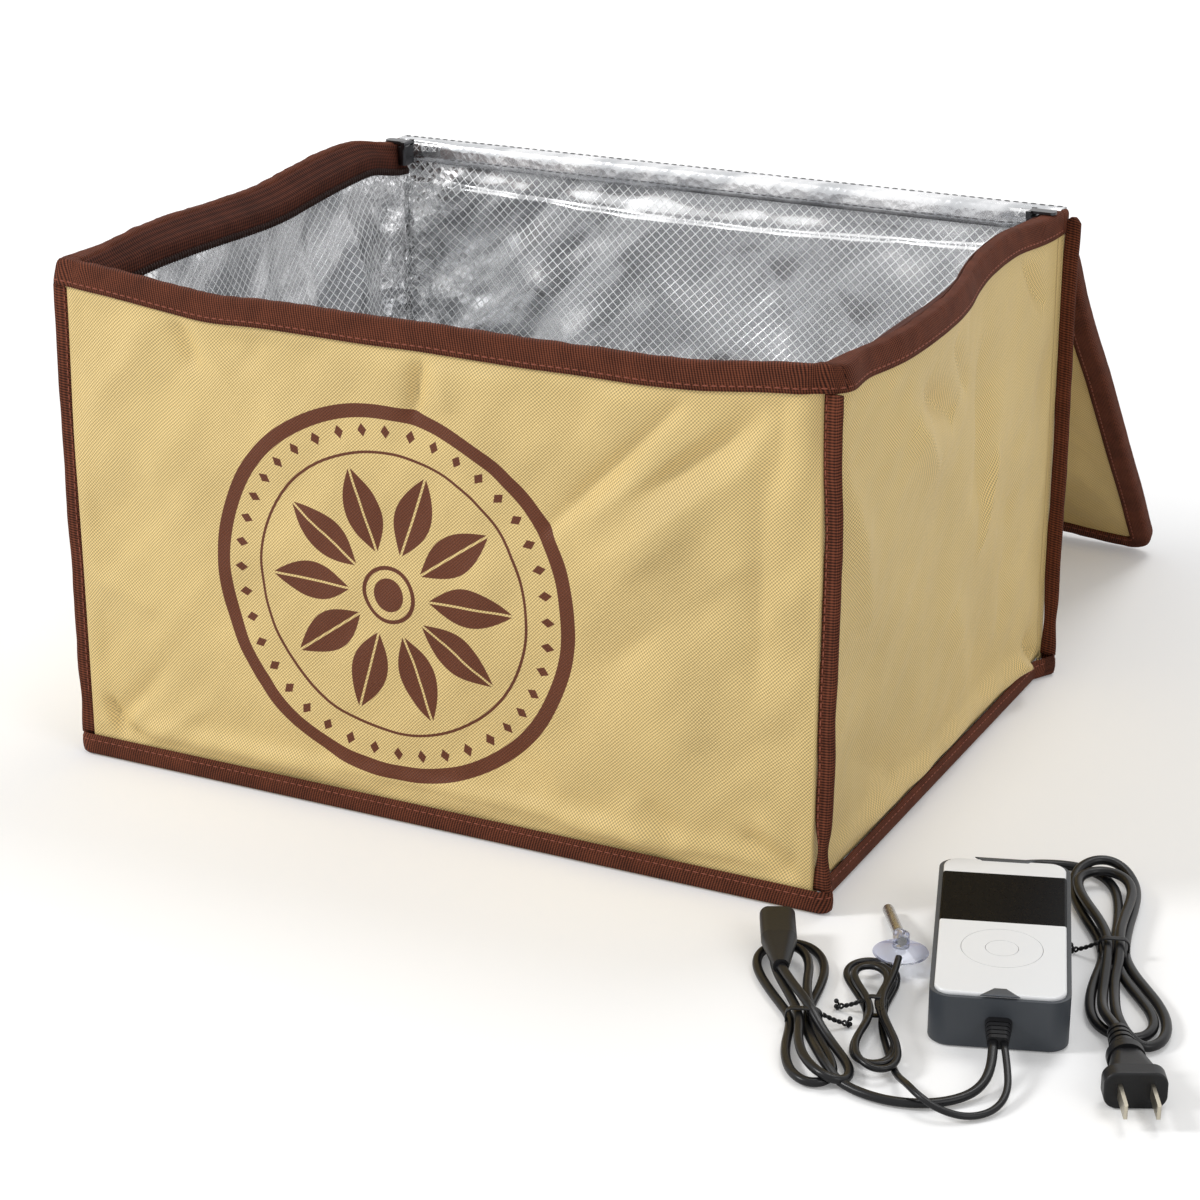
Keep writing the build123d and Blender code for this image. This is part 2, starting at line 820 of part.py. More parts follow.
sensor_outline = [
    (-54.0, 3.5),
    (-45.0, 0.5),
    (-40.5, -9.0),
    (-41.8, -25.0),
    (-45.2, -42.7),
    (-42.0, -60.0),
    (-40.5, -78.0),
    (-43.5, -91.0),
    (-48.5, -94.0),
    (-54.0, -86.0),
    (-57.5, -68.0),
    (-55.2, -42.7),
    (-61.0, -25.0),
    (-66.0, -9.0),
    (-62.5, 0.5),
]
mains_waist, mains_waist_height, mains_tie = (41.2, 53.8, 2.0, 42.0), 9.6, 21.6
heater_waist, heater_waist_height, heater_tie = (-86.0, -71.6, -72.0, -42.0), 8.6, -56.8
sensor_waist, sensor_waist_height, sensor_tie = (-55.0, -45.6, -56.0, -30.0), 8.6, -42.7
mains_loops_height, heater_loops_height, sensor_loops_height = 5.2, 4.8, 6.0

# Each tail runs from inside the waist to the piece on the lead's far end.
plug_tip = (47.8, -57.0, plug_flange_height / 2)
plug_turn = 7.4
connector_centre_z = heater_loops_height + soft_gap + connector_height / 2
connector_end = (-91.0, -24.0, connector_centre_z)
connector_turn = 7.0
cup_place = (-42.3, 2.7)
cup_bottom = sensor_loops_height + soft_gap
neck_z = cup_bottom + cup_height + cup_neck_height / 2
probe_tip = Vector(-50.0, 49.4, probe_radius + 0.1)
neck = Vector(*cup_place, neck_z)
probe_along = (probe_tip - neck).normalized()
crimp_end = probe_tip - probe_along * (probe_steel_length + crimp_length)

mains_tail = [
    (47.4, 20.0, 6.0),
    (47.0, -5.0, 6.2),
    (47.6, -30.0, 7.2),
    (plug_tip[0], plug_tip[1], plug_tip[2]),
]
heater_tail = [
    (-79.5, -58.0, 5.0),
    (-82.0, -47.0, 6.2),
    (-87.0, -36.0, 8.6),
    connector_end,
]
sensor_tail = [
    (-49.0, -43.0, 5.0),
    (-45.5, -31.0, 6.0),
    (-42.4, -17.0, 9.6),
    tuple(crimp_end),
]


def leads():
    save("mains_cord", laid * tube(mains_route, mains_diameter, "mains cord"))
    save("heater_lead", laid * tube(heater_route, heater_diameter, "heater lead"))
    save("sensor_lead", laid * tube(sensor_route, sensor_diameter, "sensor lead"))
    hanks = [
        ("mains_hank", mains_outline, mains_loops_height, mains_waist, mains_waist_height)
        + (mains_tail, mains_diameter, mains_tie),
        ("heater_hank", heater_outline, heater_loops_height, heater_waist, heater_waist_height)
        + (heater_tail, heater_diameter, heater_tie),
        ("sensor_hank", sensor_outline, sensor_loops_height, sensor_waist, sensor_waist_height)
        + (sensor_tail, sensor_diameter, sensor_tie),
    ]
    bands = []
    for node, outline, loops, waist, height, tail, diameter, middle in hanks:
        band = tie(waist, height, middle)
        solid = hank(outline, loops, waist, height, tail, diameter)
        save(node, laid * (solid - band))
        bands.append(laid * band)
    save("cord_ties", *bands)


def mains_plug():
    """Two-blade plug, drawn along -Y from the tip of its ribbed relief."""
    half = plug_flange_height / 2
    collar_at = plug_relief_length
    body_at = collar_at + plug_collar_length
    flange_at = body_at + plug_body_length

    def section(distance, width, thickness):
        return cross_section(-1, distance, width, thickness, plug_roundness)

    plug = rod((0, 0, 0), (0, -collar_at, 0), plug_relief_tip, plug_relief_radius)
    for i in range(plug_grooves):
        y = plug_relief_length * (i + 0.6) / (plug_grooves + 0.6)
        ends = [(0, -y, 0), (0, -y - plug_groove_width, 0)]
        groove = rod(*ends, plug_relief_radius + cut_past)
        plug -= groove - rod(*ends, plug_relief_tip - plug_groove_depth)
    plug += rod((0, -collar_at, 0), (0, -body_at, 0), plug_collar_radius)
    plug += loft(
        [
            section(body_at, plug_waist_width, plug_waist_height),
            section(flange_at, plug_body_width, plug_body_height),
        ]
    )
    flange = extrude(section(flange_at, plug_flange_width, plug_flange_height), plug_flange_length)
    plug += fillet(flange.edges().group_by(Axis.Y)[0], plug_edge_round)
    face = flange_at + plug_flange_length
    blades = []
    for x in (-blade_spacing / 2, blade_spacing / 2):
        blade = block(
            x - blade_thickness / 2,
            x + blade_thickness / 2,
            -face - blade_length,
            -face,
            -blade_width / 2,
            blade_width / 2,
        )
        blades.append(chamfer(blade.edges().group_by(Axis.Y)[0], blade_chamfer))
    place = laid * Location((plug_tip[0], plug_tip[1], half), (0, 0, plug_turn))
    save("mains_plug", place * plug)
    save("plug_blades", *[place * blade for blade in blades])


def heater_connector():
    """Two-hole connector, drawn along +Y from the tip of its boot."""

    def section(distance, width, thickness):
        return cross_section(1, distance, width, thickness, connector_roundness)

    boot = loft(
        [
            section(0, connector_boot_tip, connector_boot_tip),
            section(connector_boot_length, connector_width, connector_height),
        ]
    )
    head = extrude(
        section(connector_boot_length, connector_width, connector_height), connector_head_length
    )
    face = connector_boot_length + connector_head_length
    shape = boot + head
    for x in (-pin_spacing / 2, pin_spacing / 2):
        bottom = (x, face - connector_hole_depth, 0)
        shape -= rod(bottom, (x, face + cut_past, 0), connector_hole_radius)
    place = laid * Location(connector_end, (0, 0, connector_turn))
    save("heater_connector", place * shape)


def sensor_probe():
    """Steel probe with its crimped tail, in the neck of the suction cup."""
    steel_end = probe_tip - probe_along * probe_steel_length
    nose = probe_tip - probe_along * probe_nose_length
    probe = rod(tuple(steel_end), tuple(nose), probe_radius)
    probe += rod(tuple(nose), tuple(probe_tip), probe_radius, probe_nose_radius)
    probe += rod(tuple(crimp_end), tuple(steel_end), crimp_radius)
    x, y = cup_place
    low = cup_bottom
    cup = rod((x, y, low), (x, y, low + cup_height), cup_radius, cup_neck_radius)
    hollow_top = low + cup_height - cup_wall
    cup -= rod((x, y, low), (x, y, hollow_top), cup_radius - cup_wall, cup_hollow_top_radius)
    top = low + cup_height + cup_neck_height
    stem = rod((x, y, low + cup_height - cup_wall / 2), (x, y, top), cup_neck_radius)
    cup += fillet(stem.edges().group_by(Axis.Z)[-1], cup_neck_round)
    bore = [neck - probe_along * cup_radius, neck + probe_along * cup_radius]
    cup -= rod(tuple(bore[0]), tuple(bore[1]), crimp_radius + relief_play)
    save("sensor_probe", laid * probe)
    save("suction_cup", laid * cup)


leads()
mains_plug()
heater_connector()
sensor_probe()

print(f"lid leans {math.degrees(lid_lean):.2f} deg, opens {lid_angle:.2f} deg from closed")
print(f"corner pivots x {corner_pivot_x:.2f} y {corner_pivot_y:.2f}, middle pivots x {middle_pivot_x:.2f}")
print(f"slider travel {slider_travel:.2f}, pull pivot x {pull_x:.2f} z {pull_z:.2f}")
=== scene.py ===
import math
import bmesh
import bpy
import numpy as np
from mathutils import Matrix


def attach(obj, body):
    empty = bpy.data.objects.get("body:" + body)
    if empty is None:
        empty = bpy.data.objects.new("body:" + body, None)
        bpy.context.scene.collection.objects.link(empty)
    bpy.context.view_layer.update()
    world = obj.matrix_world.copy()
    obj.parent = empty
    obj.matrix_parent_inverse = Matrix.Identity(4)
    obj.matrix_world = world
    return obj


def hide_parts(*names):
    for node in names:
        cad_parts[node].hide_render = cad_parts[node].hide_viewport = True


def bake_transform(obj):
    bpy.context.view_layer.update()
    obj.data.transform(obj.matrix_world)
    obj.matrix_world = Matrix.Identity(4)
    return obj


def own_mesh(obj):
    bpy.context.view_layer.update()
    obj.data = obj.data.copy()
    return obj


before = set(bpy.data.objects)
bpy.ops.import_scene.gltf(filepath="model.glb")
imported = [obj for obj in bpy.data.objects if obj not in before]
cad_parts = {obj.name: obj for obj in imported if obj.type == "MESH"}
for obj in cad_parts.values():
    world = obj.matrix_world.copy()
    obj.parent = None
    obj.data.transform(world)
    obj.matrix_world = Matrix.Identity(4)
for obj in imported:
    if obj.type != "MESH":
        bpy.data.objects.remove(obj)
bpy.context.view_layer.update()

print("frame loaded:", len(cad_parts), "nodes")

mm = 0.001


# arrays to meshes

def gridFaces(rows, columns, closeRows=False, closeColumns=False):
    # quads between neighbours of a rows x columns grid of point numbers
    numbers = np.arange(rows * columns).reshape(rows, columns)
    if closeRows:
        numbers = np.concatenate([numbers, numbers[:1]], axis=0)
    if closeColumns:
        numbers = np.concatenate([numbers, numbers[:, :1]], axis=1)
    corners = [numbers[:-1, :-1], numbers[1:, :-1], numbers[1:, 1:], numbers[:-1, 1:]]
    return np.stack([c.ravel() for c in corners], axis=1)


def patch(points, pattern=None, slot=0, closeRows=False, closeColumns=False):
    # one grid of points (rows, columns, 3), its pattern coordinates in millimetres and its material
    rows, columns = points.shape[:2]
    if pattern is None:
        down, across = np.meshgrid(np.arange(rows), np.arange(columns), indexing="ij")
        pattern = np.stack([down, across], axis=-1)
    return {
        "points": points.reshape(-1, 3),
        "pattern": np.asarray(pattern, float).reshape(-1, 2),
        "faces": gridFaces(rows, columns, closeRows, closeColumns),
        "slot": slot,
    }


def buildPiece(name, patches, materials, smooth=True, weld=2e-6):
    # patches joined into one mesh, with doubles merged and the faces turned outwards
    points = np.concatenate([p["points"] for p in patches])
    pattern = np.concatenate([p["pattern"] for p in patches])
    starts = np.cumsum([0] + [len(p["points"]) for p in patches[:-1]])
    faces = np.concatenate([p["faces"] + s for p, s in zip(patches, starts)])
    slots = np.concatenate([np.full(len(p["faces"]), p["slot"]) for p in patches])
    mesh = bpy.data.meshes.new(name)
    mesh.from_pydata(points.tolist(), [], faces.tolist())
    layer = mesh.uv_layers.new(name="pattern")
    loops = np.zeros(len(mesh.loops), np.int32)
    mesh.loops.foreach_get("vertex_index", loops)
    layer.data.foreach_set("uv", pattern[loops].astype(np.float32).ravel())
    mesh.polygons.foreach_set("material_index", slots.astype(np.int32))
    for material in materials:
        mesh.materials.append(material)
    piece = bpy.data.objects.new(name, mesh)
    bpy.context.scene.collection.objects.link(piece)
    tidyMesh(mesh, weld)
    mesh.polygons.foreach_set("use_smooth", np.full(len(mesh.polygons), smooth))
    return piece


def tidyMesh(mesh, weld):
    # doubles closer than the weld distance merged, faces turned outwards
    work = bmesh.new()
    work.from_mesh(mesh)
    bmesh.ops.remove_doubles(work, verts=work.verts, dist=weld)
    bmesh.ops.dissolve_degenerate(work, edges=work.edges, dist=weld)
    bmesh.ops.recalc_face_normals(work, faces=work.faces)
    work.to_mesh(mesh)
    work.free()


def unit(vectors):
    # the same directions at length 1
    return vectors / np.maximum(np.linalg.norm(vectors, axis=-1, keepdims=True), 1e-12)


def alongPath(path, profile):
    # a profile of (side, height) carried along a path: point = path + side * across + height * top
    tangent = unit(np.gradient(path, axis=0))
    across = unit(np.cross(tangent, np.array([0.0, 0.0, 1.0])))
    top = np.cross(across, tangent)
    side, height = profile[:, 0:1], profile[:, 1:2]
    return path[:, None] + side * across[:, None] + height * top[:, None]


def lay(first, second):
    # two rows of values laid out as one grid of pairs
    return np.stack(np.meshgrid(first, second, indexing="ij"), axis=-1)


def level(z, offset):
    # an upright profile of (offset, z) at one offset
    return np.stack([np.full_like(z, offset), z], axis=1)


def fullTurn(count):
    return np.linspace(0, 2 * math.pi, count, endpoint=False)


def bell(value, middle, wide):
    # 1 at the middle, falling off with the square of the distance over the width
    return np.exp(-(((value - middle) / wide) ** 2))


def power(value, exponent):
    # the power of a value's size with its sign kept: it squares up a circle
    return np.sign(value) * np.abs(value) ** exponent


def distance(path):
    # how far each point of a path lies along it
    steps = np.linalg.norm(np.diff(path, axis=0), axis=1)
    return np.concatenate([[0.0], np.cumsum(steps)])


def capped(rings):
    # closes both ends of a stack of rings with a pole at each ring's middle
    first = np.repeat(rings[:1].mean(axis=1, keepdims=True), rings.shape[1], axis=1)
    last = np.repeat(rings[-1:].mean(axis=1, keepdims=True), rings.shape[1], axis=1)
    return np.concatenate([first, rings, last])


def oval(width, height, count):
    # half the width times cosine, half the height times sine
    turn = fullTurn(count)
    return np.stack([np.cos(turn) * width / 2, np.sin(turn) * height / 2], axis=1)


# node materials

def put(tree, kind, settings=(), inputs=()):
    # one shader node, with its properties set and its inputs linked or given a value
    made = tree.nodes.new("ShaderNode" + kind)
    for name, value in dict(settings).items():
        setattr(made, name, value)
    for name, value in dict(inputs).items():
        if isinstance(value, bpy.types.NodeSocket):
            tree.links.new(value, made.inputs[name])
        else:
            made.inputs[name].default_value = value
    return made


def calc(tree, operation, first, second=0.0, third=0.0):
    return put(tree, "Math", {"operation": operation}, {0: first, 1: second, 2: third}).outputs[0]


def blendColor(tree, share, low, high):
    mix = put(tree, "Mix", {"data_type": "RGBA"})
    for socket, value in ((0, share), (6, low), (7, high)):
        if isinstance(value, bpy.types.NodeSocket):
            tree.links.new(value, mix.inputs[socket])
        else:
            mix.inputs[socket].default_value = value if socket == 0 else (*value, 1.0)
    return mix.outputs[2]


def times(tree, first, second):
    return calc(tree, "MULTIPLY", first, second)


def plus(tree, first, second):
    return calc(tree, "ADD", first, second)


def minus(tree, first, second):
    return calc(tree, "SUBTRACT", first, second)


def scaled(tree, value, factor, offset):
    # value * factor + offset
    return calc(tree, "MULTIPLY_ADD", value, factor, offset)


def startMaterial(name, settings):
    material = bpy.data.materials.new(name)
    material.use_nodes = True
    tree = material.node_tree
    tree.nodes.clear()
    shader = put(tree, "BsdfPrincipled", {}, settings)
    put(tree, "OutputMaterial", {}, {"Surface": shader.outputs[0]})
    return material, tree, shader


def wire(tree, shader, sockets):
    # worked-out values on the shader's named sockets
    for name, value in sockets.items():
        tree.links.new(value, shader.inputs[name])


def objectPlace(tree):
    return put(tree, "TexCoord").outputs["Object"]


def shades(color, dark, light):
    # a darker and a lighter tone of one colour
    return tuple(c * dark for c in color), tuple(min(1.0, c * light) for c in color)


def noise(tree, vector, scale, detail=3.0):
    settings = {"Vector": vector, "Scale": scale, "Detail": detail, "Roughness": 0.5}
    return put(tree, "TexNoise", {}, settings).outputs["Fac"]


def ramp(tree, value, low, high):
    # 0 below low, 1 above high, smooth between
    settings = {"interpolation_type": "SMOOTHSTEP"}
    return put(tree, "MapRange", settings, {0: value, 1: low, 2: high}).outputs[0]


def relief(tree, shader, height, deep):
    bump = put(tree, "Bump", {}, {"Height": height, "Distance": deep, "Strength": 1.0})
    wire(tree, shader, {"Normal": bump.outputs[0]})


def plastic(name, color, rough, grain=600.0, deep=0.00004, spread=0.12, cloudy=0.12, **more):
    # moulded plastic: fine grain in the relief, faint cloudiness in colour and gloss
    material, tree, shader = startMaterial(name, {"Roughness": rough, **more})
    place = objectPlace(tree)
    fine = noise(tree, place, grain, 4.0)
    broad = noise(tree, place, 45.0, 2.0)
    mixed = blendColor(tree, broad, *shades(color, 1 - spread, 1 + spread))
    gloss = scaled(tree, broad, cloudy, rough - cloudy / 2)
    wire(tree, shader, {"Base Color": mixed, "Roughness": gloss})
    relief(tree, shader, fine, deep)
    return material


def metal(name, color, rough):
    # drawn metal: fine noise stretched along one axis, in tone, gloss and relief
    material, tree, shader = startMaterial(name, {"Metallic": 1.0, "Roughness": rough})
    place = objectPlace(tree)
    stretched = put(tree, "Mapping", {}, {"Vector": place, "Scale": (1.0, 0.08, 1.0)}).outputs[0]
    fine = noise(tree, stretched, 900.0)
    mixed = blendColor(tree, fine, *shades(color, 0.86, 1.0))
    gloss = scaled(tree, fine, 0.14, rough - 0.05)
    wire(tree, shader, {"Base Color": mixed, "Roughness": gloss})
    relief(tree, shader, fine, 0.00002)
    return material


# camera, floor and light

view = {
    "place": (0.627, -1.234, 0.592),
    "azimuth": 26.6,
    "elevation": 21.0,
    "lens": 87.84,
    "backdrop": 1.0,
    "worldLight": 0.5,
    "floorTone": (0.86, 0.86, 0.86, 1),
    "floorHalf": 6.0,
}
lamps = {
    # place, what it aims at, disk size in metres, watts
    "keyLamp": ((-1.9, -1.5, 1.75), (0, 0, 0.12), 0.7, 44.0),
    "fillLamp": ((2.2, -1.0, 1.5), (0.1, 0, 0.12), 1.4, 11.0),
    "topLamp": ((0.3, 0.9, 2.2), (0, 0.1, 0.1), 1.0, 14.0),
}


def makeCamera():
    a, e = math.radians(view["azimuth"]), math.radians(view["elevation"])
    data = bpy.data.cameras.new("camera")
    data.lens, data.sensor_width = view["lens"], 36.0
    data.clip_start, data.clip_end = 0.05, 60.0
    camera = bpy.data.objects.new("camera", data)
    bpy.context.scene.collection.objects.link(camera)
    camera.location = view["place"]
    camera.rotation_euler = (math.radians(90) - e, 0.0, a)
    bpy.context.scene.camera = camera


def seenDirectly(tree):
    # 1 where the camera, a mirror-like surface or glass looks at it
    path = put(tree, "LightPath")
    seen = plus(tree, path.outputs["Is Camera Ray"], path.outputs["Is Glossy Ray"])
    return calc(tree, "MINIMUM", plus(tree, seen, path.outputs["Is Transmission Ray"]), 1.0)


def makeStage():
    scene = bpy.context.scene
    scene.view_settings.view_transform = "Standard"
    world = bpy.data.worlds.new("studio")
    world.use_nodes = True
    scene.world = world
    tree = world.node_tree
    tree.nodes.clear()
    seen = seenDirectly(tree)
    strength = scaled(tree, seen, view["backdrop"] - view["worldLight"], view["worldLight"])
    background = put(tree, "Background", {}, {"Color": (1, 1, 1, 1), "Strength": strength})
    put(tree, "OutputWorld", {}, {"Surface": background.outputs[0]})

    edges = [-view["floorHalf"], view["floorHalf"]]
    flat = lay(edges, edges)
    sides = np.concatenate([flat, np.full((2, 2, 1), -0.0004)], axis=-1)
    settings = {
        "Roughness": 0.9, "Base Color": view["floorTone"], "Specular IOR Level": 0.0,
        "Emission Color": (1, 1, 1, 1),
    }
    material, tree, shader = startMaterial("studioFloor", settings)
    # the floor's own glow for the camera grows away from the object, where the lamps reach less
    away = put(tree, "VectorMath", {"operation": "LENGTH"}, {0: objectPlace(tree)}).outputs["Value"]
    near, far = (
        put(tree, "MapRange", {"interpolation_type": "SMOOTHSTEP"}, {0: away, 1: a, 2: b, 3: low, 4: 0.5})
        for a, b, low in ((0.35, 1.9, 0.15), (1.9, 4.0, 0.0))
    )
    share = plus(tree, near.outputs[0], far.outputs[0])
    glow = times(tree, put(tree, "LightPath").outputs["Is Camera Ray"], share)
    wire(tree, shader, {"Emission Strength": glow})
    buildPiece("studioFloorSheet", [patch(sides)], [material], smooth=False)


def makeLamp(name, place, aim, size, power):
    # a round area lamp turned so that it looks from its place at its aim
    data = bpy.data.lights.new(name, "AREA")
    data.shape, data.size, data.energy = "DISK", size, power
    lamp = bpy.data.objects.new(name, data)
    bpy.context.scene.collection.objects.link(lamp)
    lamp.location = place
    back = np.array(place, float) - np.array(aim, float)
    flat = math.hypot(back[0], back[1])
    lamp.rotation_euler = (math.atan2(flat, back[2]), 0.0, math.atan2(back[0], -back[1]))


makeCamera()
makeStage()
for lampName, settings in lamps.items():
    makeLamp(lampName, *settings)
print("camera, floor and lamps made")

# cords: they lie on the floor round the controller

setPlace = {"x": 0.286, "y": -0.175, "turn": math.radians(18.3)}


def laid(points):
    # controller millimetres to metres on the floor beside the bag
    points = np.asarray(points, float) * mm
    cos, sin = math.cos(setPlace["turn"]), math.sin(setPlace["turn"])
    x = setPlace["x"] + points[..., 0] * cos - points[..., 1] * sin
    y = setPlace["y"] + points[..., 0] * sin + points[..., 1] * cos
    return np.stack([x, y, points[..., 2]], axis=-1)


cordGloss = {"Specular IOR Level": 0.28}
cordMaterial = plastic("pvcSheath", (0.008, 0.008, 0.009), 0.3, grain=900.0, deep=0.00003, **cordGloss)

mainsCord = {
    "diameter": 4.5,
    "length": 0.9,
    "route": [
        (0, 74, 11), (0.2, 87.3, 8), (7, 98.7, 4.2), (18.6, 105.4, 2.3), (31.9, 105, 2.3), (43, 98.4, 2.3),
    ],
    "turns": [
        (49.2, 86, 2.3), (50.6, 70, 2.3), (50.2, 54, 2.3), (48.8, 38, 2.3), (47.8, 22, 2.3),
        (49.6, 8, 2.3), (53.4, -6, 2.3), (58.2, -18, 2.3), (62.4, -30, 2.3), (63, -41, 2.3),
        (59, -49, 2.3), (52.6, -51.2, 2.3), (45.2, -48.4, 2.3), (39.4, -41, 2.3), (37, -30, 2.3),
        (37.4, -16, 2.3), (39.6, -2, 2.3), (42.4, 11, 2.3), (43.2, 22, 2.3), (41.2, 36, 2.3),
        (36.4, 52, 2.3), (32.2, 68, 2.3), (30.4, 82, 2.6), (32, 94, 5.4), (38.4, 102.4, 6.8),
        (47, 104.6, 6.8), (54, 100, 5), (58.2, 90, 2.6), (58.8, 78, 2.3), (56.8, 62, 2.3),
        (54.2, 46, 2.3), (52.6, 30, 2.3), (52.4, 18, 2.3), (55.8, 4, 2.3), (60.4, -8, 2.3),
        (65, -20, 2.3), (67.8, -32, 2.3), (68, -44, 2.3), (64.6, -54, 2.3), (58, -58.6, 2.5),
        (51.8, -54.6, 5.6), (48.4, -45.4, 6.8), (47.2, -34, 5.6), (47.2, -20, 3.6), (47.4, -4, 3.4),
        (49.4, 10, 5), (49.8, 22, 6.5), (50.4, 36, 6.8), (52.6, 50, 6.6), (55.2, 63, 6.4),
        (56.6, 75, 6.4), (54.4, 86, 6.8), (47.4, 92.4, 6.8), (39, 92.2, 6.6), (33, 85.4, 6.4),
        (32.8, 74, 6.4), (36.4, 60, 6.6), (41, 46, 6.8), (44, 34, 6.8), (45.2, 22, 6.6),
    ],
    "tail": [
        (44.4, 8, 6.2), (43.2, -6, 4.6), (42.2, -20, 3.6), (42, -33, 5.4), (43.8, -44, 7.4),
        (47, -52.5, 8), (47.8, -57, 8),
    ],
}
heaterCord = {
    "diameter": 4.0,
    "length": 0.69,
    "route": [
        (-1.9, -78, 11), (-1.6, -90, 7), (-6.5, -102.5, 3.2), (-17, -110.5, 2.1),
        (-31, -114.5, 2.1), (-46, -112.5, 2.1), (-60.5, -103.5, 2.1),
    ],
    "turns": [
        (-67.4, -93.6, 5), (-71.4, -83.6, 5.4), (-74.6, -72, 3.4), (-77.4, -61, 2.1), (-78, -50, 2.1),
        (-76.4, -38, 2.1), (-74.2, -25, 2.1), (-73.2, -12, 2.1), (-75, 0, 2.1), (-80.6, 9.4, 2.1),
        (-88.6, 12.6, 2.1), (-96.4, 10, 2.1), (-102, 2.4, 2.1), (-103, -7.6, 2.1), (-100.4, -18, 2.1),
        (-95.4, -30, 2.1), (-89.6, -42, 2.1), (-84.8, -52, 2.1), (-84, -62, 2.1), (-84.6, -74, 2.1),
        (-83.8, -86, 2.1), (-80.6, -97, 2.1), (-74.4, -104, 2.1), (-67, -103, 2.1), (-63.6, -95, 2.1),
        (-66, -84, 2.1), (-70.2, -73, 2.1), (-73.8, -62, 3.4), (-76.2, -52, 5.6), (-78.8, -40, 6.2),
        (-79.6, -28, 6.2), (-79.6, -16, 6), (-81.6, -5, 5.8), (-86.4, 2.2, 5.8), (-92.4, 1.6, 5.8),
        (-95.4, -5.4, 5.8), (-94.4, -16, 5.8), (-90.8, -28, 6), (-86.2, -40, 6), (-82, -52, 6),
        (-80, -63, 5.8), (-79.6, -76, 5.4), (-77, -88, 5.6), (-72, -98.6, 5.8), (-65, -104.6, 5),
        (-58.6, -102, 3), (-57.2, -93, 2.2), (-60.6, -83, 2.1), (-65.8, -73, 2.6), (-71.2, -64, 5),
    ],
    "tail": [(-75.8, -56, 8.4), (-80, -47.5, 9.4), (-84.8, -38, 9.6), (-88.6, -29.5, 9.8), (-91, -24, 9.8)],
}
sensorCord = {
    "diameter": 3.0,
    "length": 0.77,
    "route": [
        (2.4, -78, 11), (4.2, -90, 7.6), (4.8, -103, 3.4), (0, -114.5, 1.6), (-10, -121, 1.6),
        (-21, -121.8, 4.4), (-29.5, -117, 7.4), (-34.5, -108.5, 7.4), (-38.5, -97.5, 4), (-41, -86, 1.6),
    ],
    "turns": [
        (-43.6, -74, 1.6), (-46, -62, 1.6), (-47.4, -51, 1.6), (-47, -40, 1.6), (-45, -29, 1.6),
        (-42.6, -18, 1.6), (-43.2, -7, 1.6), (-48.6, 1, 1.6), (-56.4, 2.4, 1.6), (-63, -2.6, 1.6),
        (-64.8, -11.4, 1.6), (-61.6, -21, 1.6), (-57.4, -31, 1.6), (-54, -41, 1.6), (-53.4, -51, 1.6),
        (-55.6, -61, 1.6), (-58, -71, 1.6), (-57, -80.6, 1.6), (-50.4, -85.4, 1.6), (-43.4, -82.6, 1.8),
        (-40.6, -75, 3.4), (-42.6, -65, 4.4), (-46, -54, 4.6), (-47.8, -43, 4.8), (-45.6, -33, 4.8),
        (-43.6, -23, 4.6), (-44.6, -13, 4.4), (-50.2, -6.6, 4.4), (-57.4, -7.4, 4.4), (-61.4, -14, 4.4),
        (-60, -23, 4.6), (-56, -32, 4.6), (-53, -41, 4.6), (-52.4, -51, 4.6), (-54.6, -62, 4.6),
        (-57, -72, 4.6), (-57.4, -82, 4.6), (-52.6, -89.6, 4.6), (-45.4, -90.6, 4.6), (-40.2, -85, 4.6),
        (-40.2, -75.4, 4.6), (-43.4, -65, 5.2), (-47.6, -54, 7), (-49.8, -44, 7.4), (-48.2, -35, 7.4),
        (-46.2, -26.6, 7.4), (-47.4, -18.4, 7.4), (-52.4, -13.4, 7.4), (-58.6, -15, 7.4), (-60.8, -22, 7.4),
        (-58, -31, 7.4), (-54, -41, 7.6), (-51.6, -52, 7.4), (-52.8, -62, 7.4), (-55.4, -72, 7.4),
        (-56.6, -82, 7.2), (-54.4, -91, 7), (-48.4, -96.4, 5.8), (-41.8, -94.6, 5.4), (-38.6, -87, 6),
        (-40, -77, 7.4), (-43.4, -66, 7.6), (-46.4, -56, 8), (-47.4, -47, 8.2),
    ],
    "tail": [(-47.2, -38, 8), (-45.5, -29, 8), (-43.6, -20, 9), (-42.6, -10.5, 10.6)],
}


def cordLine(name, control):
    # the NURBS line through a cord's control points, read back as a list of points
    curve = bpy.data.curves.new(name + "Line", "CURVE")
    curve.dimensions, curve.resolution_u = "3D", 6
    spline = curve.splines.new("NURBS")
    spline.points.add(len(control) - 1)
    homogeneous = np.concatenate([control, np.ones((len(control), 1))], axis=1)
    spline.points.foreach_set("co", homogeneous.ravel())
    spline.order_u = 3
    spline.use_endpoint_u = True
    holder = bpy.data.objects.new(name + "Line", curve)
    mesh = bpy.data.meshes.new_from_object(holder)
    points = np.zeros(len(mesh.vertices) * 3)
    mesh.vertices.foreach_get("co", points)
    bpy.data.objects.remove(holder)
    bpy.data.meshes.remove(mesh)
    bpy.data.curves.remove(curve)
    return points.reshape(-1, 3)


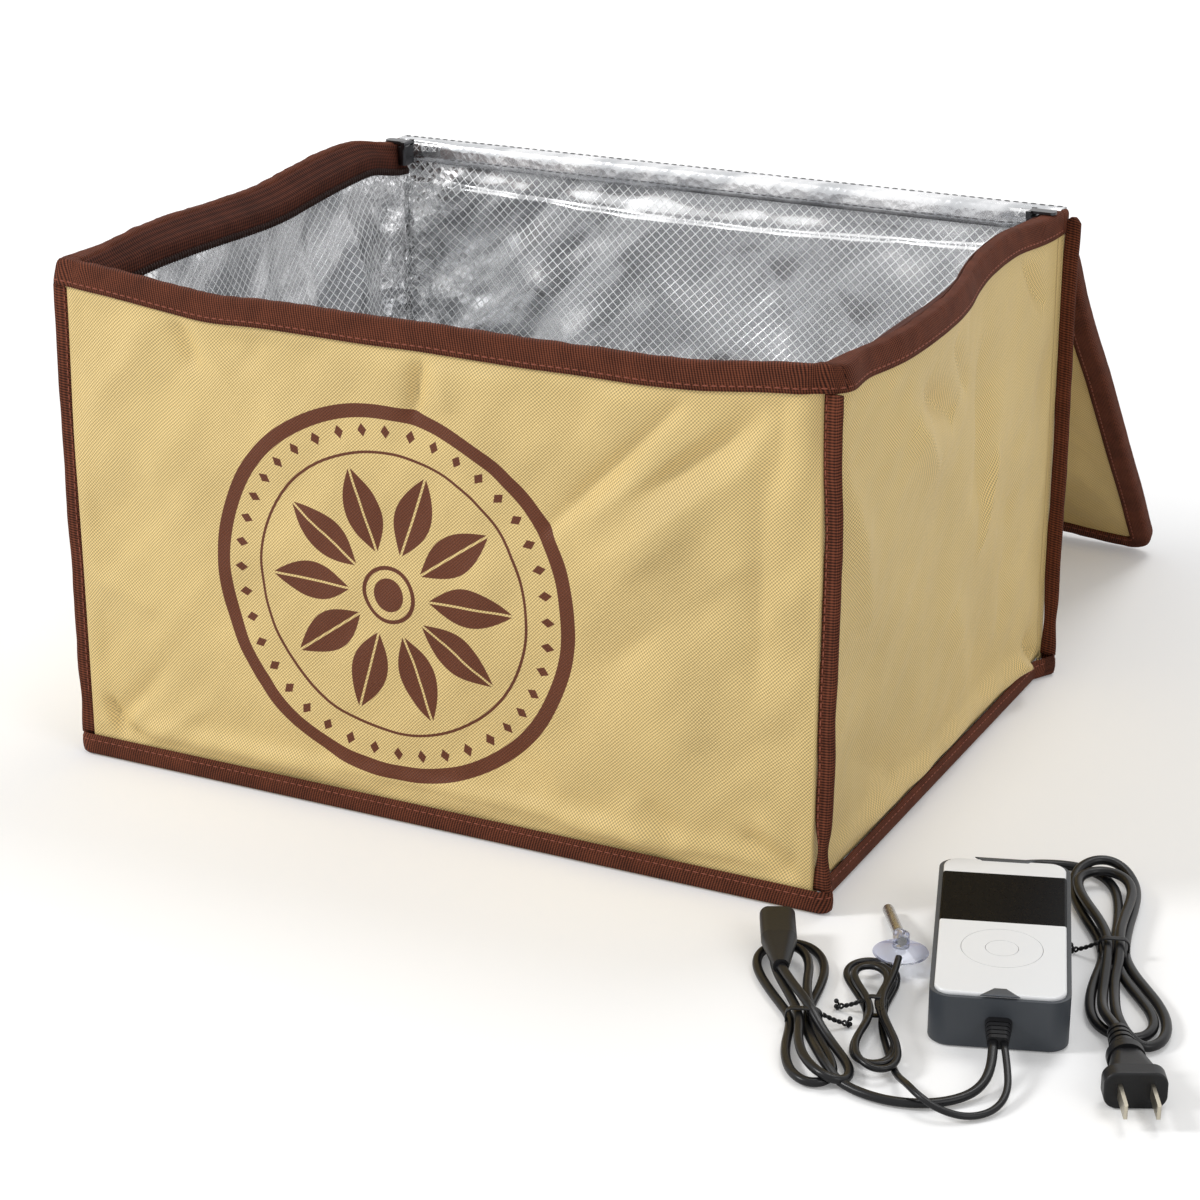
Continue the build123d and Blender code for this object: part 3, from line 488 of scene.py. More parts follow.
def makeCord(name, settings, replaced):
    # an oval that is drawn in along its middle, as two cores under one sheath, carried along the line
    control = laid(settings["route"] + settings["turns"] + settings["tail"])
    line = cordLine(name, control)
    across = settings["diameter"] * mm
    turn = fullTurn(18)
    waist = 1 - 0.13 * np.exp(-((np.cos(turn) / 0.28) ** 2))
    profile = np.stack([np.cos(turn), np.sin(turn) * 0.95 * waist], axis=1) * across / 2
    rings = capped(alongPath(line, profile))
    travelled = distance(line) / mm
    pattern = lay(travelled, turn)
    pattern = np.concatenate([pattern[:1], pattern, pattern[-1:]])
    piece = buildPiece(name, [patch(rings, pattern, closeColumns=True)], [cordMaterial])
    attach(piece, "rear")
    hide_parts(*replaced)
    print(name, "is", round(travelled[-1]), "mm long")


makeCord("mainsLead", mainsCord, ["mains_cord", "mains_hank"])
makeCord("heaterLead", heaterCord, ["heater_lead", "heater_hank"])
makeCord("sensorLead", sensorCord, ["sensor_lead", "sensor_hank"])
print("cords laid")


# the bag: millimetres, x across, y to the back, z up, offset 0 on the foil faces

bag = {
    "inner": (185.0, 150.0),
    "wall": 7.0,
    "liner": 5.8,
    "tape": 1.2,
    "height": 250.0,
    "seam": 149.7,
    "clothTop": 248.8,
    "foot": 7.3,
    "sideFoot": 10.3,
    "crease": 193.5,
    "pivot": 180.6,
    "cornerRound": 15.0,
    "sideBulge": 3.0,
    "frontBulge": 3.5,
    "rearBulge": 2.0,
    "overhang": 4.6,
    "pinch": 0.3,
    "flare": {"left": 5.6, "right": 5.0},
    # places between which a movement fades in: in plan, then up the walls
    "sideFade": (120, 180),
    "frontFade": (90, 145),
    "rearFade": (100, 149),
    "leanFade": (90, 245),
    "liftFade": (120, 240),
    "roundFade": (150, 240),
    "bulgeFoot": (11, 22),
    "skirtFoot": (11.6, 15.5),
    # how far the rim leans out and how far it lifts, at even steps from front to back or left to right
    "rightOut": [1, 3, 6, 9.5, 10.5, 10, 8.5, 5.5, 0.5, -2.5, -3.5, -4, -3, -0.5, 0],
    "rightUp": [0, -1, -1.5, -1, -0.4, -0.2, -0.2, 0, 0.2, 1.6, 2.5, 2.5, 1, 0, 0],
    "leftOut": [1, 3, 5, 7, 8, 8, 8, 8, 8, 8, 8, 7, 4.5, 1, 0],
    "leftUp": [1, 1.6, 2, 2.2, 2, 1.4, 0.6, 0, 0.6, 3, 5, 6.4, 7, 5, 0],
    "frontOut": [0, 1.5, 3, 4, 5, 5, 5, 5, 5, 5, 5, 4.5, 3.5, 1.5, 0],
    "frontUp": [1, -0.5, -3, -5.6, -4, -4.2, -4.6, -4.2, -4.6, -5, -4.6, -5.2, -4.4, -1.5, 0],
    "rearUp": [0, 0, -0.4, -0.8, -1.2, -1.2, -1.4, -1.6, -1.6, -1.4, -1.2, -0.8, -0.4, 0, 0],
}
innerFace = np.array(bag["inner"])
outerFace = innerFace + bag["wall"]


def lattice(x, y, seed):
    # gradient noise: a random slope at each whole point, faded into its neighbours
    cellX, cellY = np.floor(x), np.floor(y)
    x, y = x - cellX, y - cellY
    fadeX, fadeY = x * x * x * (x * (6 * x - 15) + 10), y * y * y * (y * (6 * y - 15) + 10)
    total = np.zeros_like(x)
    for stepX in (0, 1):
        for stepY in (0, 1):
            mixed = (cellX + stepX) * 127.1 + (cellY + stepY) * 311.7 + seed * 74.7
            turn = 2 * math.pi * np.modf(np.abs(np.sin(mixed) * 43758.5453))[0]
            slope = np.cos(turn) * (x - stepX) + np.sin(turn) * (y - stepY)
            weight = (fadeX if stepX else 1 - fadeX) * (fadeY if stepY else 1 - fadeY)
            total += slope * weight
    return total * 1.6


def softFolds(x, y, seed, size, angle=0.0, stretch=1.0, layers=2):
    # noise drawn out along one direction, each layer half the size and half the height
    cos, sin = math.cos(angle), math.sin(angle)
    along, across = (x * cos + y * sin) / stretch, y * cos - x * sin
    return sum(lattice(along * 2**k / size, across * 2**k / size, seed + k) / 2**k for k in range(layers))


def creases(x, y, seed, size, layers=3):
    # ridged noise: flat facets that meet in sharp folds, each layer finer and lower
    warpX = x + 0.3 * size * lattice(x / size, y / size, seed + 50)
    warpY = y + 0.3 * size * lattice(x / size, y / size, seed + 51)
    total = 0.0
    for k in range(layers):
        scale = 2.1**k / size
        total = total + (0.55 - np.abs(lattice(warpX * scale, warpY * scale, seed + k))) / 2.1**k
    return total


def pulls(x, y, lines):
    # ridges along straight lines: height times a bell of the distance to the line
    total = np.zeros_like(x)
    for x0, y0, x1, y1, wide, high in lines:
        long = math.hypot(x1 - x0, y1 - y0)
        share = ((x - x0) * (x1 - x0) + (y - y0) * (y1 - y0)) / long**2
        near = np.clip(share, 0, 1)
        gap = np.hypot(x - x0 - near * (x1 - x0), y - y0 - near * (y1 - y0))
        total += high * np.exp(-((gap / wide) ** 1.5)) * (0.35 + 0.65 * np.sin(math.pi * near) ** 0.5)
    return total


def smoothStep(value, low, high):
    # 0 up to low, 1 from high on, 3t^2 - 2t^3 between
    t = np.clip((value - low) / (high - low), 0, 1)
    return t * t * (3 - 2 * t)


def profileAt(values, place, reach):
    # a smooth curve through even steps: straight runs rounded by a sliding average
    fine = np.linspace(-reach, reach, 8 * len(values))
    rough = np.interp(fine, np.linspace(-reach, reach, len(values)), values)
    kernel = np.hanning(11)
    smooth = np.convolve(np.pad(rough, 5, mode="edge"), kernel / kernel.sum(), mode="valid")
    return np.interp(place, fine, smooth)


def nearEdges(x, y):
    # shares that say how near a place is to the sides, the front and the rear
    places = ((np.abs(x), "sideFade"), (-y, "frontFade"), (y, "rearFade"))
    return (smoothStep(place, *bag[name]) for place, name in places)


def rimLift(x, y):
    # how far the top edge stands above its level at a place in plan
    nearSide, nearFront, nearRear = nearEdges(x, y)
    right, left = (profileAt(bag[name], y, outerFace[1]) for name in ("rightUp", "leftUp"))
    up = np.where(x > 0, right, left)
    lift = nearSide * up * (1 - nearFront) * (1 - nearRear)
    front, rear = (profileAt(bag[name], x, outerFace[0]) for name in ("frontUp", "rearUp"))
    return lift + nearFront * front + nearRear * rear


def settle(points):
    # how the filled cloth stands: walls bulge, the rim leans and sags, the front corners round off
    points = np.array(points, float)
    x, y, z = points[..., 0].copy(), points[..., 1].copy(), points[..., 2].copy()
    top = smoothStep(z, *bag["leanFade"])
    middle = np.sin(np.clip(z / bag["height"], 0, 1) * math.pi)
    nearSide, nearFront, nearRear = nearEdges(x, y)
    alongFront, alongSide = (1 - np.clip(np.abs(v) / far, 0, 1) ** 4 for v, far in zip((x, y), outerFace))
    right, left = (profileAt(bag[name], y, outerFace[1]) for name in ("rightOut", "leftOut"))
    out = np.where(x > 0, right, left)
    points[..., 0] += np.sign(x) * nearSide * (top * out + bag["sideBulge"] * middle * alongSide)
    # the foot of the front keeps inside the tape round the base
    bulge = bag["frontBulge"] * middle * alongFront * smoothStep(z, *bag["bulgeFoot"])
    points[..., 1] -= nearFront * (top * profileAt(bag["frontOut"], x, outerFace[0]) + bulge)
    clearOfInlet = 1 - np.exp(-((x / 45) ** 2) - ((z - 20) / 35) ** 2)
    points[..., 1] += nearRear * bag["rearBulge"] * middle * alongFront * clearOfInlet
    points[..., 2] += smoothStep(z, *bag["liftFade"]) * rimLift(x, y)
    # the cloth hangs over the bottom edge, and the bound top edge is drawn thinner
    skirt = bag["overhang"] * bell(z, 19.5, 6) * smoothStep(z, *bag["skirtFoot"])
    points[..., 0] += np.sign(x) * nearSide * skirt * alongSide
    points[..., 1] -= nearFront * skirt * alongFront
    drawn = bag["pinch"] * smoothStep(z, 238, 250) * (1 - smoothStep(y, 100, 130))
    middleX, middleY = innerFace + bag["wall"] / 2
    points[..., 0] -= np.sign(x) * (np.abs(x) - middleX) * drawn * smoothStep(np.abs(x), 176, 183)
    points[..., 1] += (-y - middleY) * drawn * smoothStep(-y, 141, 148)
    # only the tape over the top edge stands out, over the ends of the corner seams
    flare = np.where(x > 0, bag["flare"]["right"], bag["flare"]["left"])
    over = np.where(z > 237.9, smoothStep(np.abs(x), 186, 193), 0) * smoothStep(-y, 118, 150)
    points[..., 0] += np.sign(x) * flare * over
    # square corner to round one: the larger distance becomes the radius
    core = outerFace - bag["cornerRound"]
    beyondX, beyondY = np.maximum(np.abs(x) - core[0], 0), np.maximum(-y - core[1], 0)
    radius = np.maximum(np.hypot(beyondX, beyondY), 1e-9)
    share = np.maximum(beyondX, beyondY) / radius - 1
    share = share * smoothStep(z, *bag["roundFade"]) * np.where(x > 0, 1.0, 0.3)
    points[..., 0] += np.sign(x) * beyondX * share
    points[..., 1] -= beyondY * share
    return points


def stations(low, high, step, extra=()):
    # even places from low to high, with the extra ones that lie between
    even = np.linspace(low, high, max(2, int(round((high - low) / step)) + 1))
    return np.unique(np.concatenate([even, [e for e in extra if low < e < high]]))


def wallLine(wallName, step, low=None, high=None, extra=()):
    # plan line along a wall's outside and the distance along it; front and rear turn both corners
    reach = innerFace + bag["wall"] + bag["tape"]
    if wallName in ("left", "right"):
        y = stations(low, high, step, extra)
        return np.stack([np.full_like(y, reach[0] if wallName == "right" else -reach[0]), y], axis=1), y
    run = stations(-reach[0], reach[0], step, extra)
    sign = 1 if wallName == "rear" else -1
    backs = [np.linspace(start, reach[1], 5)[:-1] for start in low]
    x = np.concatenate([np.full(4, -reach[0]), run, np.full(4, reach[0])])
    y = sign * np.concatenate([backs[0], np.full(len(run), reach[1]), backs[1][::-1]])
    travelled = np.concatenate([backs[0] - reach.sum(), run, reach.sum() - backs[1][::-1]])
    return np.stack([x, y], axis=1), travelled


def sheetAt(line, z, offset):
    # the wall's own plane at one offset, up all its heights
    return wrapWall(line, level(z, offset))


def wrapWall(line, profile):
    # each (offset, z) of a profile on each plan point, drawn in to the rectangle at that offset
    profile = np.asarray(profile, float)
    limit = innerFace + profile[None, :, :1]
    plan = np.clip(line[:, None], -limit, limit)
    height = np.broadcast_to(profile[None, :, 1:2], plan.shape[:2] + (1,))
    return np.concatenate([plan, height], axis=-1)


def slab(outer, inner, pattern, slots=(0, 0, 0), hole=None):
    # closed sheet: an outer and an inner grid joined round their edges, and round a hole
    number = np.arange(outer.shape[0] * outer.shape[1]).reshape(outer.shape[:2])
    flatOuter, flatInner, flatPattern = outer.reshape(-1, 3), inner.reshape(-1, 3), pattern.reshape(-1, 2)

    def skirt(block):
        rim = np.concatenate([block[0, :-1], block[:-1, -1], block[-1, :0:-1], block[:0:-1, 0]])
        edge = np.stack([flatOuter[rim], flatInner[rim]], axis=1)
        return patch(edge, np.stack([flatPattern[rim]] * 2, axis=1), slots[2], closeRows=True)

    faces = [patch(outer, pattern, slots[0]), patch(inner, pattern, slots[1])]
    made = faces + [skirt(number)]
    if hole:
        (row0, row1), (column0, column1) = hole
        block = number[row0 : row1 + 1, column0 : column1 + 1]
        gone = np.zeros((outer.shape[0] - 1, outer.shape[1] - 1), bool)
        gone[row0:row1, column0:column1] = True
        for part in faces:
            part["faces"] = part["faces"][~gone.ravel()]
        made.append(skirt(block))
    return made


def finishPiece(name, soft, hard, materials, **more):
    # soft patches take the stand of the filled bag, hard ones stay where they are
    for part in soft:
        part["points"] = settle(part["points"])
    for part in soft + hard:
        part["points"] = part["points"] * mm
    return buildPiece(name, soft + hard, materials, **more)


# cloth, tape, foil and thread

def uvPlace(tree):
    # the piece's own pattern coordinates, whole and split
    place = put(tree, "UVMap").outputs[0]
    return place, put(tree, "SeparateXYZ", {}, {0: place}).outputs


def tapeMaterial(name, color, pitch=1.3, slant=0.3, across=0.9):
    # ribbed binding tape: slanting ribs, a finer thread across them, faint wear
    material, tree, shader = startMaterial(name, {"Roughness": 0.82, "Specular IOR Level": 0.16})
    place, part = uvPlace(tree)
    slanted = scaled(tree, part[1], slant, part[0])
    ribs = calc(tree, "SINE", times(tree, slanted, 2 * math.pi / pitch))
    cross = calc(tree, "SINE", times(tree, part[1], 2 * math.pi / across))
    woven = scaled(tree, cross, 0.45, ribs)
    cloud = noise(tree, place, 0.08, 3.0)
    dusty = noise(tree, place, 0.9, 2.0)
    share = scaled(tree, dusty, 0.4, scaled(tree, cloud, 0.6, -0.12))
    share = scaled(tree, woven, 0.42, share)
    wire(tree, shader, {"Base Color": blendColor(tree, share, *shades(color, 0.22, 1.85))})
    relief(tree, shader, woven, 0.00007)
    return material


badge = {
    "centre": (-17.0, 116.0),
    "radius": 94.0,
    "band": 7.0,
    "beads": 40,
    "beadRing": 0.86,
    "petals": 10,
    "petalFrom": 20.0,
    "petalLong": 44.0,
    "petalHalf": 9.5,
    # radius and half width of the thin ring, the round middle and the ring round that
    "rings": ((70.0, 0.7), (0.0, 8.0), (13.0, 1.0)),
}


def badgeShare(tree, part):
    # 1 inside the print: a band, a ring of diamonds, a thin ring, petals and a round middle
    x = minus(tree, part[0], badge["centre"][0])
    y = minus(tree, part[1], badge["centre"][1])
    away = calc(tree, "SQRT", plus(tree, times(tree, x, x), times(tree, y, y)))
    angle = calc(tree, "ARCTAN2", y, x)

    def ringAt(radius, half):
        gap = calc(tree, "ABSOLUTE", minus(tree, away, radius))
        return ramp(tree, gap, half + 0.15, half - 0.15)

    def around(count):
        # angle to the nearest of count even spokes
        half = math.pi / count
        return calc(tree, "PINGPONG", plus(tree, angle, 2 * math.pi), half)

    beadRing = badge["radius"] * badge["beadRing"]
    beadWide = times(tree, around(badge["beads"]), beadRing / 2.4)
    beadTall = calc(tree, "DIVIDE", calc(tree, "ABSOLUTE", minus(tree, away, beadRing)), 3.4)
    diamonds = ramp(tree, plus(tree, beadWide, beadTall), 1.05, 0.95)
    petal = around(badge["petals"])
    side = times(tree, calc(tree, "SINE", petal), away)
    shareOut = calc(tree, "DIVIDE", minus(tree, away, badge["petalFrom"]), badge["petalLong"])
    inside = calc(tree, "MINIMUM", calc(tree, "MAXIMUM", shareOut, 0.0), 1.0)
    belly = times(tree, calc(tree, "SINE", times(tree, inside, math.pi)), badge["petalHalf"])
    leaf = ramp(tree, minus(tree, belly, side), -0.1, 0.25)
    leaf = times(tree, leaf, ramp(tree, side, 0.45, 0.7))
    total = ringAt(badge["radius"] - badge["band"] / 2, badge["band"] / 2)
    thin, middle, inner = (ringAt(*ring) for ring in badge["rings"])
    for layer in (thin, diamonds, leaf, middle, inner):
        total = calc(tree, "MAXIMUM", total, layer)
    return total


def clothMaterial(name, color, printed=False):
    # coated Oxford cloth: a checker of raised floats, softly clouded, with ink where it is printed
    material, tree, shader = startMaterial(name, {"Roughness": 0.48, "Specular IOR Level": 0.3})
    place, part = uvPlace(tree)
    pitch = 1.65
    flat, settings = {"noise_dimensions": "2D"}, {"Vector": place, "Scale": 0.05, "Detail": 2.0}
    wander = put(tree, "TexNoise", flat, settings).outputs["Color"]
    settings = {0: wander, 1: (1.2, 1.2, 0), 2: place}
    bent = put(tree, "VectorMath", {"operation": "MULTIPLY_ADD"}, settings).outputs[0]
    thread = put(tree, "SeparateXYZ", {}, {0: bent}).outputs
    warp, weft = (calc(tree, "SINE", times(tree, thread[k], 2 * math.pi / pitch)) for k in (0, 1))
    diagonal = minus(tree, thread[0], thread[1])
    twill = calc(tree, "COSINE", times(tree, diagonal, 2 * math.pi / pitch))
    woven = scaled(tree, twill, 0.36, times(tree, warp, weft))
    cloud = noise(tree, place, 0.02, 3.0)
    share = scaled(tree, woven, 0.5, scaled(tree, cloud, 0.4, 0.3))
    base = blendColor(tree, share, *shades(color, 0.52, 1.2))
    if printed:
        ink = blendColor(tree, share, (0.09, 0.022, 0.007), (0.165, 0.046, 0.016))
        base = blendColor(tree, badgeShare(tree, part), base, ink)
    wire(tree, shader, {"Base Color": base})
    fine = noise(tree, place, 4.0, 2.0)
    relief(tree, shader, scaled(tree, fine, 0.5, woven), 0.00006)
    return material


# scrim cell and half line width in millimetres, crumples a millimetre, slant and stretch of the painted
# reflection streaks
foilLook = {"cell": 3.9, "line": 0.46, "shard": 0.09, "slant": 0.7, "stretch": 3.2}
cream = (0.81, 0.605, 0.262)


def foilMaterial(name, corner=None, crumple=0.02, scrimmed=True, dark=0.6, paintedReflectionFade=None):
    # aluminised film over a white diamond scrim; sharp crumples only near the corner seam,
    # slanting streaks of painted reflection in the tone given by dark, fading out over the range given across
    # the wall
    material, tree, shader = startMaterial(name, {"Roughness": 0.32})
    place, part = uvPlace(tree)
    lines = []
    for operation in ("ADD", "SUBTRACT"):
        mixed = calc(tree, operation, part[0], part[1])
        near = calc(tree, "PINGPONG", mixed, foilLook["cell"] / math.sqrt(2))
        lines.append(ramp(tree, near, foilLook["line"], foilLook["line"] * 0.4))
    scrim = calc(tree, "MAXIMUM", lines[0], lines[1])
    rough = crumple
    if corner is not None:
        gap = calc(tree, "ABSOLUTE", minus(tree, part[0], corner))
        rough = scaled(tree, ramp(tree, gap, 52.0, 12.0), 1.1, crumple)
    if not scrimmed:
        # the scrim hardly shows through
        scrim = times(tree, scrim, 0.12)
    turned = {"Vector": place, "Rotation": (0, 0, foilLook["slant"]), "Scale": (foilLook["stretch"], 1, 1)}
    slanted = put(tree, "Mapping", {"vector_type": "TEXTURE"}, turned).outputs[0]
    # painted reflection: slanting darker streaks in the film's colour stand in for dark surroundings mirrored
    # in its folds
    paintedReflection = ramp(tree, noise(tree, slanted, 0.045, 2.0), 0.36, 0.6)
    # the painted dark reflection streaks fade out over the given range across the wall
    if paintedReflectionFade is not None:
        paintedReflection = calc(tree, "MAXIMUM", paintedReflection, times(tree, ramp(tree, part[0], *paintedReflectionFade), 0.8))
    # film colour: the tone given by dark where the painted reflection streaks lie, bright aluminium between
    # them
    film = blendColor(tree, paintedReflection, (dark, dark * 1.02, dark * 1.05), (0.99, 0.99, 1.0))
    toned = blendColor(tree, scrim, film, (0.97, 0.98, 0.99))
    dull, gloss = scaled(tree, scrim, -0.6, 0.86), scaled(tree, scrim, 0.3, 0.21)
    wire(tree, shader, {"Base Color": toned, "Metallic": dull, "Roughness": gloss})
    kind = {"feature": "F1", "voronoi_dimensions": "2D"}
    broad, fine = (
        put(tree, "TexVoronoi", kind, {"Vector": place, "Scale": scale}).outputs["Distance"]
        for scale in (foilLook["shard"], foilLook["shard"] * 3.1)
    )
    height = times(tree, scaled(tree, fine, 0.4, broad), rough)
    relief(tree, shader, scaled(tree, scrim, 0.07, height), 0.0014)
    return material


creamCloth = clothMaterial("creamOxford", cream)
printedCloth = clothMaterial("creamOxfordPrinted", cream, printed=True)
brownTape = tapeMaterial("brownTape", (0.118, 0.034, 0.017))
darkTape = tapeMaterial("zipTapeBrown", (0.072, 0.02, 0.011), pitch=1.7, slant=0.1, across=1.7)
threadRed = plastic("bindingThread", (0.24, 0.062, 0.032), 0.7, grain=1500.0)
# every film carries slanting painted reflection streaks; the rear and left ones are darker, and on the rear
# they fade out towards the right
foilSheet = foilMaterial("foilScrim")
foilRear = foilMaterial("foilScrimRear", corner=-185.0, dark=0.34, paintedReflectionFade=(-110.0, 40.0))
foilLeft = foilMaterial("foilScrimLeft", corner=150.0, dark=0.46)
foilRough = foilMaterial("foilCrumpled", crumple=1.6)
stripFoil = foilMaterial("hingeStripFoil", crumple=0.2, scrimmed=False)
foamEdge = plastic("foamEdge", (0.75, 0.75, 0.74), 0.9, grain=1800.0, deep=0.0002)
coilBrown = plastic("zipCoil", (0.024, 0.009, 0.006), 0.5, **{"Specular IOR Level": 0.2})


def manyRings(ring, slot):
    # one mesh from many small closed stacks of rings: (count, rings, points, 3)
    count, rings, points = ring.shape[:3]
    faces = gridFaces(rings, points, closeColumns=True)
    faces = (faces[None] + (np.arange(count) * rings * points)[:, None, None]).reshape(-1, 4)
    flat = ring.reshape(-1, 3)
    return {"points": flat, "pattern": flat[:, :2].copy(), "faces": faces, "slot": slot}


def stitches(line, normal, pitch=4.0, long=3.0, wide=0.75, high=0.55):
    # thread lying on a tape: one low capsule a stitch, five oval rings swelling along a short run
    line = np.asarray(line, float)
    travelled = distance(line)
    count = max(1, int(travelled[-1] / pitch))
    middle = (np.arange(count) + 0.5) * travelled[-1] / count

    def at(places, values):
        return np.stack([np.interp(places, travelled, values[:, k]) for k in range(3)], axis=-1)

    start, end = at(middle - long / 2, line), at(middle + long / 2, line)
    lift = unit(at(middle, np.broadcast_to(np.asarray(normal, float), line.shape)))
    run = unit(end - start)
    side = unit(np.cross(run, lift))
    share, swell = np.array([0.0, 0.12, 0.5, 0.88, 1.0]), np.array([0.01, 0.7, 1.0, 0.7, 0.01])
    turn = fullTurn(6)
    centre = start[:, None] + (end - start)[:, None] * share[None, :, None]
    swollen = swell[None, :, None, None]
    ring = (
        centre[:, :, None]
        + side[:, None, None] * np.cos(turn)[None, None, :, None] * swollen * wide / 2
        + lift[:, None, None] * np.sin(turn)[None, None, :, None] * swollen * high / 2
    )
    return manyRings(ring, 1)


# front, rear and side cloth with the foil-faced foam behind it

walls = {
    # ends of the cloth, its flat size in metres, seeds of its folds, where they fade, their strength,
    # where the film crumples most and how much
    "front": {
        "low": (152.6, 149.7), "flat": (0.4, 0.2415), "seed": 3, "foilSeed": 61,
        "reach": 190, "foilReach": 183, "strength": 1.35, "corner": (150, 34, 1.0),
    },
    "rear": {
        "low": (152.6, 152.6), "flat": (0.4, 0.2415), "seed": 13, "foilSeed": 71,
        "reach": 190, "foilReach": 183, "strength": 1.35, "corner": (-185, 30, 1.0),
    },
    "left": {
        "low": -146.6, "high": 146.6, "flat": (0.2932, 0.2415), "seed": 23, "foilSeed": 81,
        "reach": 148, "foilReach": 147, "strength": 2.1, "corner": (150, 34, 1.0),
    },
    "right": {
        "low": -149.4, "high": 146.6, "flat": (0.296, 0.2415), "seed": 33, "foilSeed": 91,
        "reach": 148, "foilReach": 147, "strength": 2.1, "corner": (150, 34, 0.4),
    },
}
folds = {
    # x0, z0, x1, z1, width, height (outwards) of each pull in the cloth
    "front": [
        (128, 232, 62, 160, 5, -3.6), (162, 226, 106, 184, 9, -4.0), (142, 222, 86, 172, 6, 2.2),
        (160, 206, 92, 150, 10, 2.6), (134, 176, 94, 138, 9, 1.8), (172, 236, 170, 196, 4, -1.6),
        (-183, 32, -173, 13, 2.8, -2.8), (-185, 22, -178, 12, 4, 2.2), (-171, 22, -161, 11, 3, -2.2),
        (150, 150, 85, 95, 12, -3.1), (168, 168, 110, 118, 9, 2), (166, 215, 163, 100, 5, -1.5),
        (2, 236, -3, 206, 4, -3.1), (10, 234, 16, 212, 6, 2), (-129, 236, -118, 214, 5, -2.7),
        (-120, 236, -96, 206, 7, 2), (-146, 56, -182, 16, 7, -2.4), (-160, 32, -170, 20, 4, 2),
        (-120, 40, -160, 14, 6, 1.5), (158, 30, 181, 17, 4, -2.5), (165, 40, 184, 26, 5, 2),
        (112, 38, 128, 19, 5, -2), (100, 34, 112, 17, 5, 1.5), (-60, 19, 70, 18, 4, -2.7),
        (-184, 180, -150, 214, 9, 1.7), (-183, 120, -150, 150, 12, -1.4), (-90, 228, -60, 205, 9, -1.5),
        (60, 232, 84, 214, 8, -1.7), (20, 60, 66, 30, 12, -1.7), (-186, 96, -150, 84, 6, 1.4),
    ],
    "right": [
        (-64, 216, -14, 190, 8, -3.4), (-78, 205, -40, 170, 10, 2.7), (62, 150, 38, 108, 4, 2),
        (50, 210, 40, 130, 14, -2.7), (-20, 226, 10, 196, 7, -2.2), (100, 236, 130, 206, 6, -2.5),
        (-140, 200, -110, 120, 12, 2.4), (120, 28, 146, 12, 6, -2.7), (104, 22, 132, 11, 4, 2.4),
        (-120, 60, -60, 30, 14, -2), (0, 90, 30, 40, 16, 2), (90, 120, 80, 50, 14, -2),
    ],
    "left": [
        (-90, 214, -60, 180, 9, -2.7), (20, 200, 50, 120, 14, 2.5), (100, 190, 70, 90, 14, -2.5),
        (-20, 60, -70, 30, 12, -2), (130, 40, 146, 14, 6, 2),
    ],
    "rear": [
        (-120, 200, -60, 120, 14, -2), (60, 210, 110, 120, 14, 2), (-150, 60, -110, 20, 10, 1.7),
        (130, 90, 160, 30, 10, -1.7),
    ],
}


def clothRelief(wallName, along, z):
    # folds and broad softness of one wall, fading out at its bound edges
    w = walls[wallName]
    loose = 2.4 * softFolds(along, z, w["seed"], 70) + 0.9 * softFolds(along, z, w["seed"] + 5, 24, 0.9, 2.5)
    height = w["strength"] * pulls(along, z, folds[wallName]) + loose
    if wallName == "rear":
        height = height * (1 - np.exp(-((along / 34) ** 4) - ((z - 20) / 28) ** 4))
    sides = smoothStep(w["reach"] - np.abs(along), 0, 9)
    return height * sides * smoothStep(z, 11.6, 16) * smoothStep(238 - z, 0, 9)


foilFolds = {
    # the same rows for the film inside, a negative height stands into the chamber
    "front": [(-100, 200, -40, 120, 14, -1.6), (40, 210, 120, 150, 12, 1.4)],
    "rear": [
        (-186, 160, -96, 222, 9, 4.4), (-160, 140, -100, 182, 8, -4.6), (-120, 118, -60, 170, 12, -3.6),
        (-182, 200, -150, 226, 6, -3.2), (-60, 214, 10, 150, 16, -3.0), (30, 216, 60, 120, 18, 2.6),
        (100, 218, 150, 130, 16, -3.0), (-184, 120, -150, 128, 6, 2.6), (-90, 200, -50, 214, 8, 3.0),
    ],
    "left": [
        (60, 222, 76, 120, 9, 2.8), (90, 226, 110, 130, 8, -3.0), (20, 216, 0, 130, 12, -2.6),
        (-40, 214, -20, 140, 11, 2.4), (-90, 216, -70, 160, 9, -2.4), (128, 226, 120, 110, 7, 2.4),
    ],
    "right": [(60, 220, 76, 120, 12, 1.8), (-40, 214, -20, 140, 14, -1.6)],
}


def foilRelief(wallName, along, z):
    # crumpled film on the inside, negative towards the chamber
    w = walls[wallName]
    seed, (place, wide, share) = w["foilSeed"], w["corner"]
    corner = share * np.exp(-np.abs(along - place) / wide)
    rough = 0.9 * (creases(along, z, seed, 60, 2) - 0.5)
    rough = rough + 4.6 * corner * (creases(along, z, seed + 7, 20) - 0.5)
    rough = rough + 2.0 * softFolds(along, z, seed + 9, 75, 0.7, 1.8, 1)
    rough = rough - pulls(along, z, foilFolds[wallName])
    if wallName == "rear":
        ledge = 229 - 5 * np.sin((along + 185) / 118)
        rough = rough * smoothStep(236 - z, 0, 8) + 2.6 * smoothStep(ledge - z, -0.9, 0.9)
        rough = rough - 1.1 * smoothStep(z - ledge, 1, 10)
    edge = smoothStep(w["foilReach"] - np.abs(along), -2, 3)
    edge = edge * smoothStep(z, 7, 12) * smoothStep(248 - z, 0, 5)
    return -(rough + 0.5) * edge


def outwards(line):
    # plan direction away from the chamber at each point of a wall line
    reach = innerFace + bag["wall"] + bag["tape"]
    ends = np.abs(line) > reach - 1e-6
    return unit(np.sign(line) * ends)


def pushed(grid, line, height):
    # a wall's grid moved outwards by a height at each point
    grid = grid.copy()
    grid[..., :2] += outwards(line)[:, None] * height[..., None]
    return grid


inletHole = {"x": (-14.6, 14.6), "z": (9.6, 28.6)}


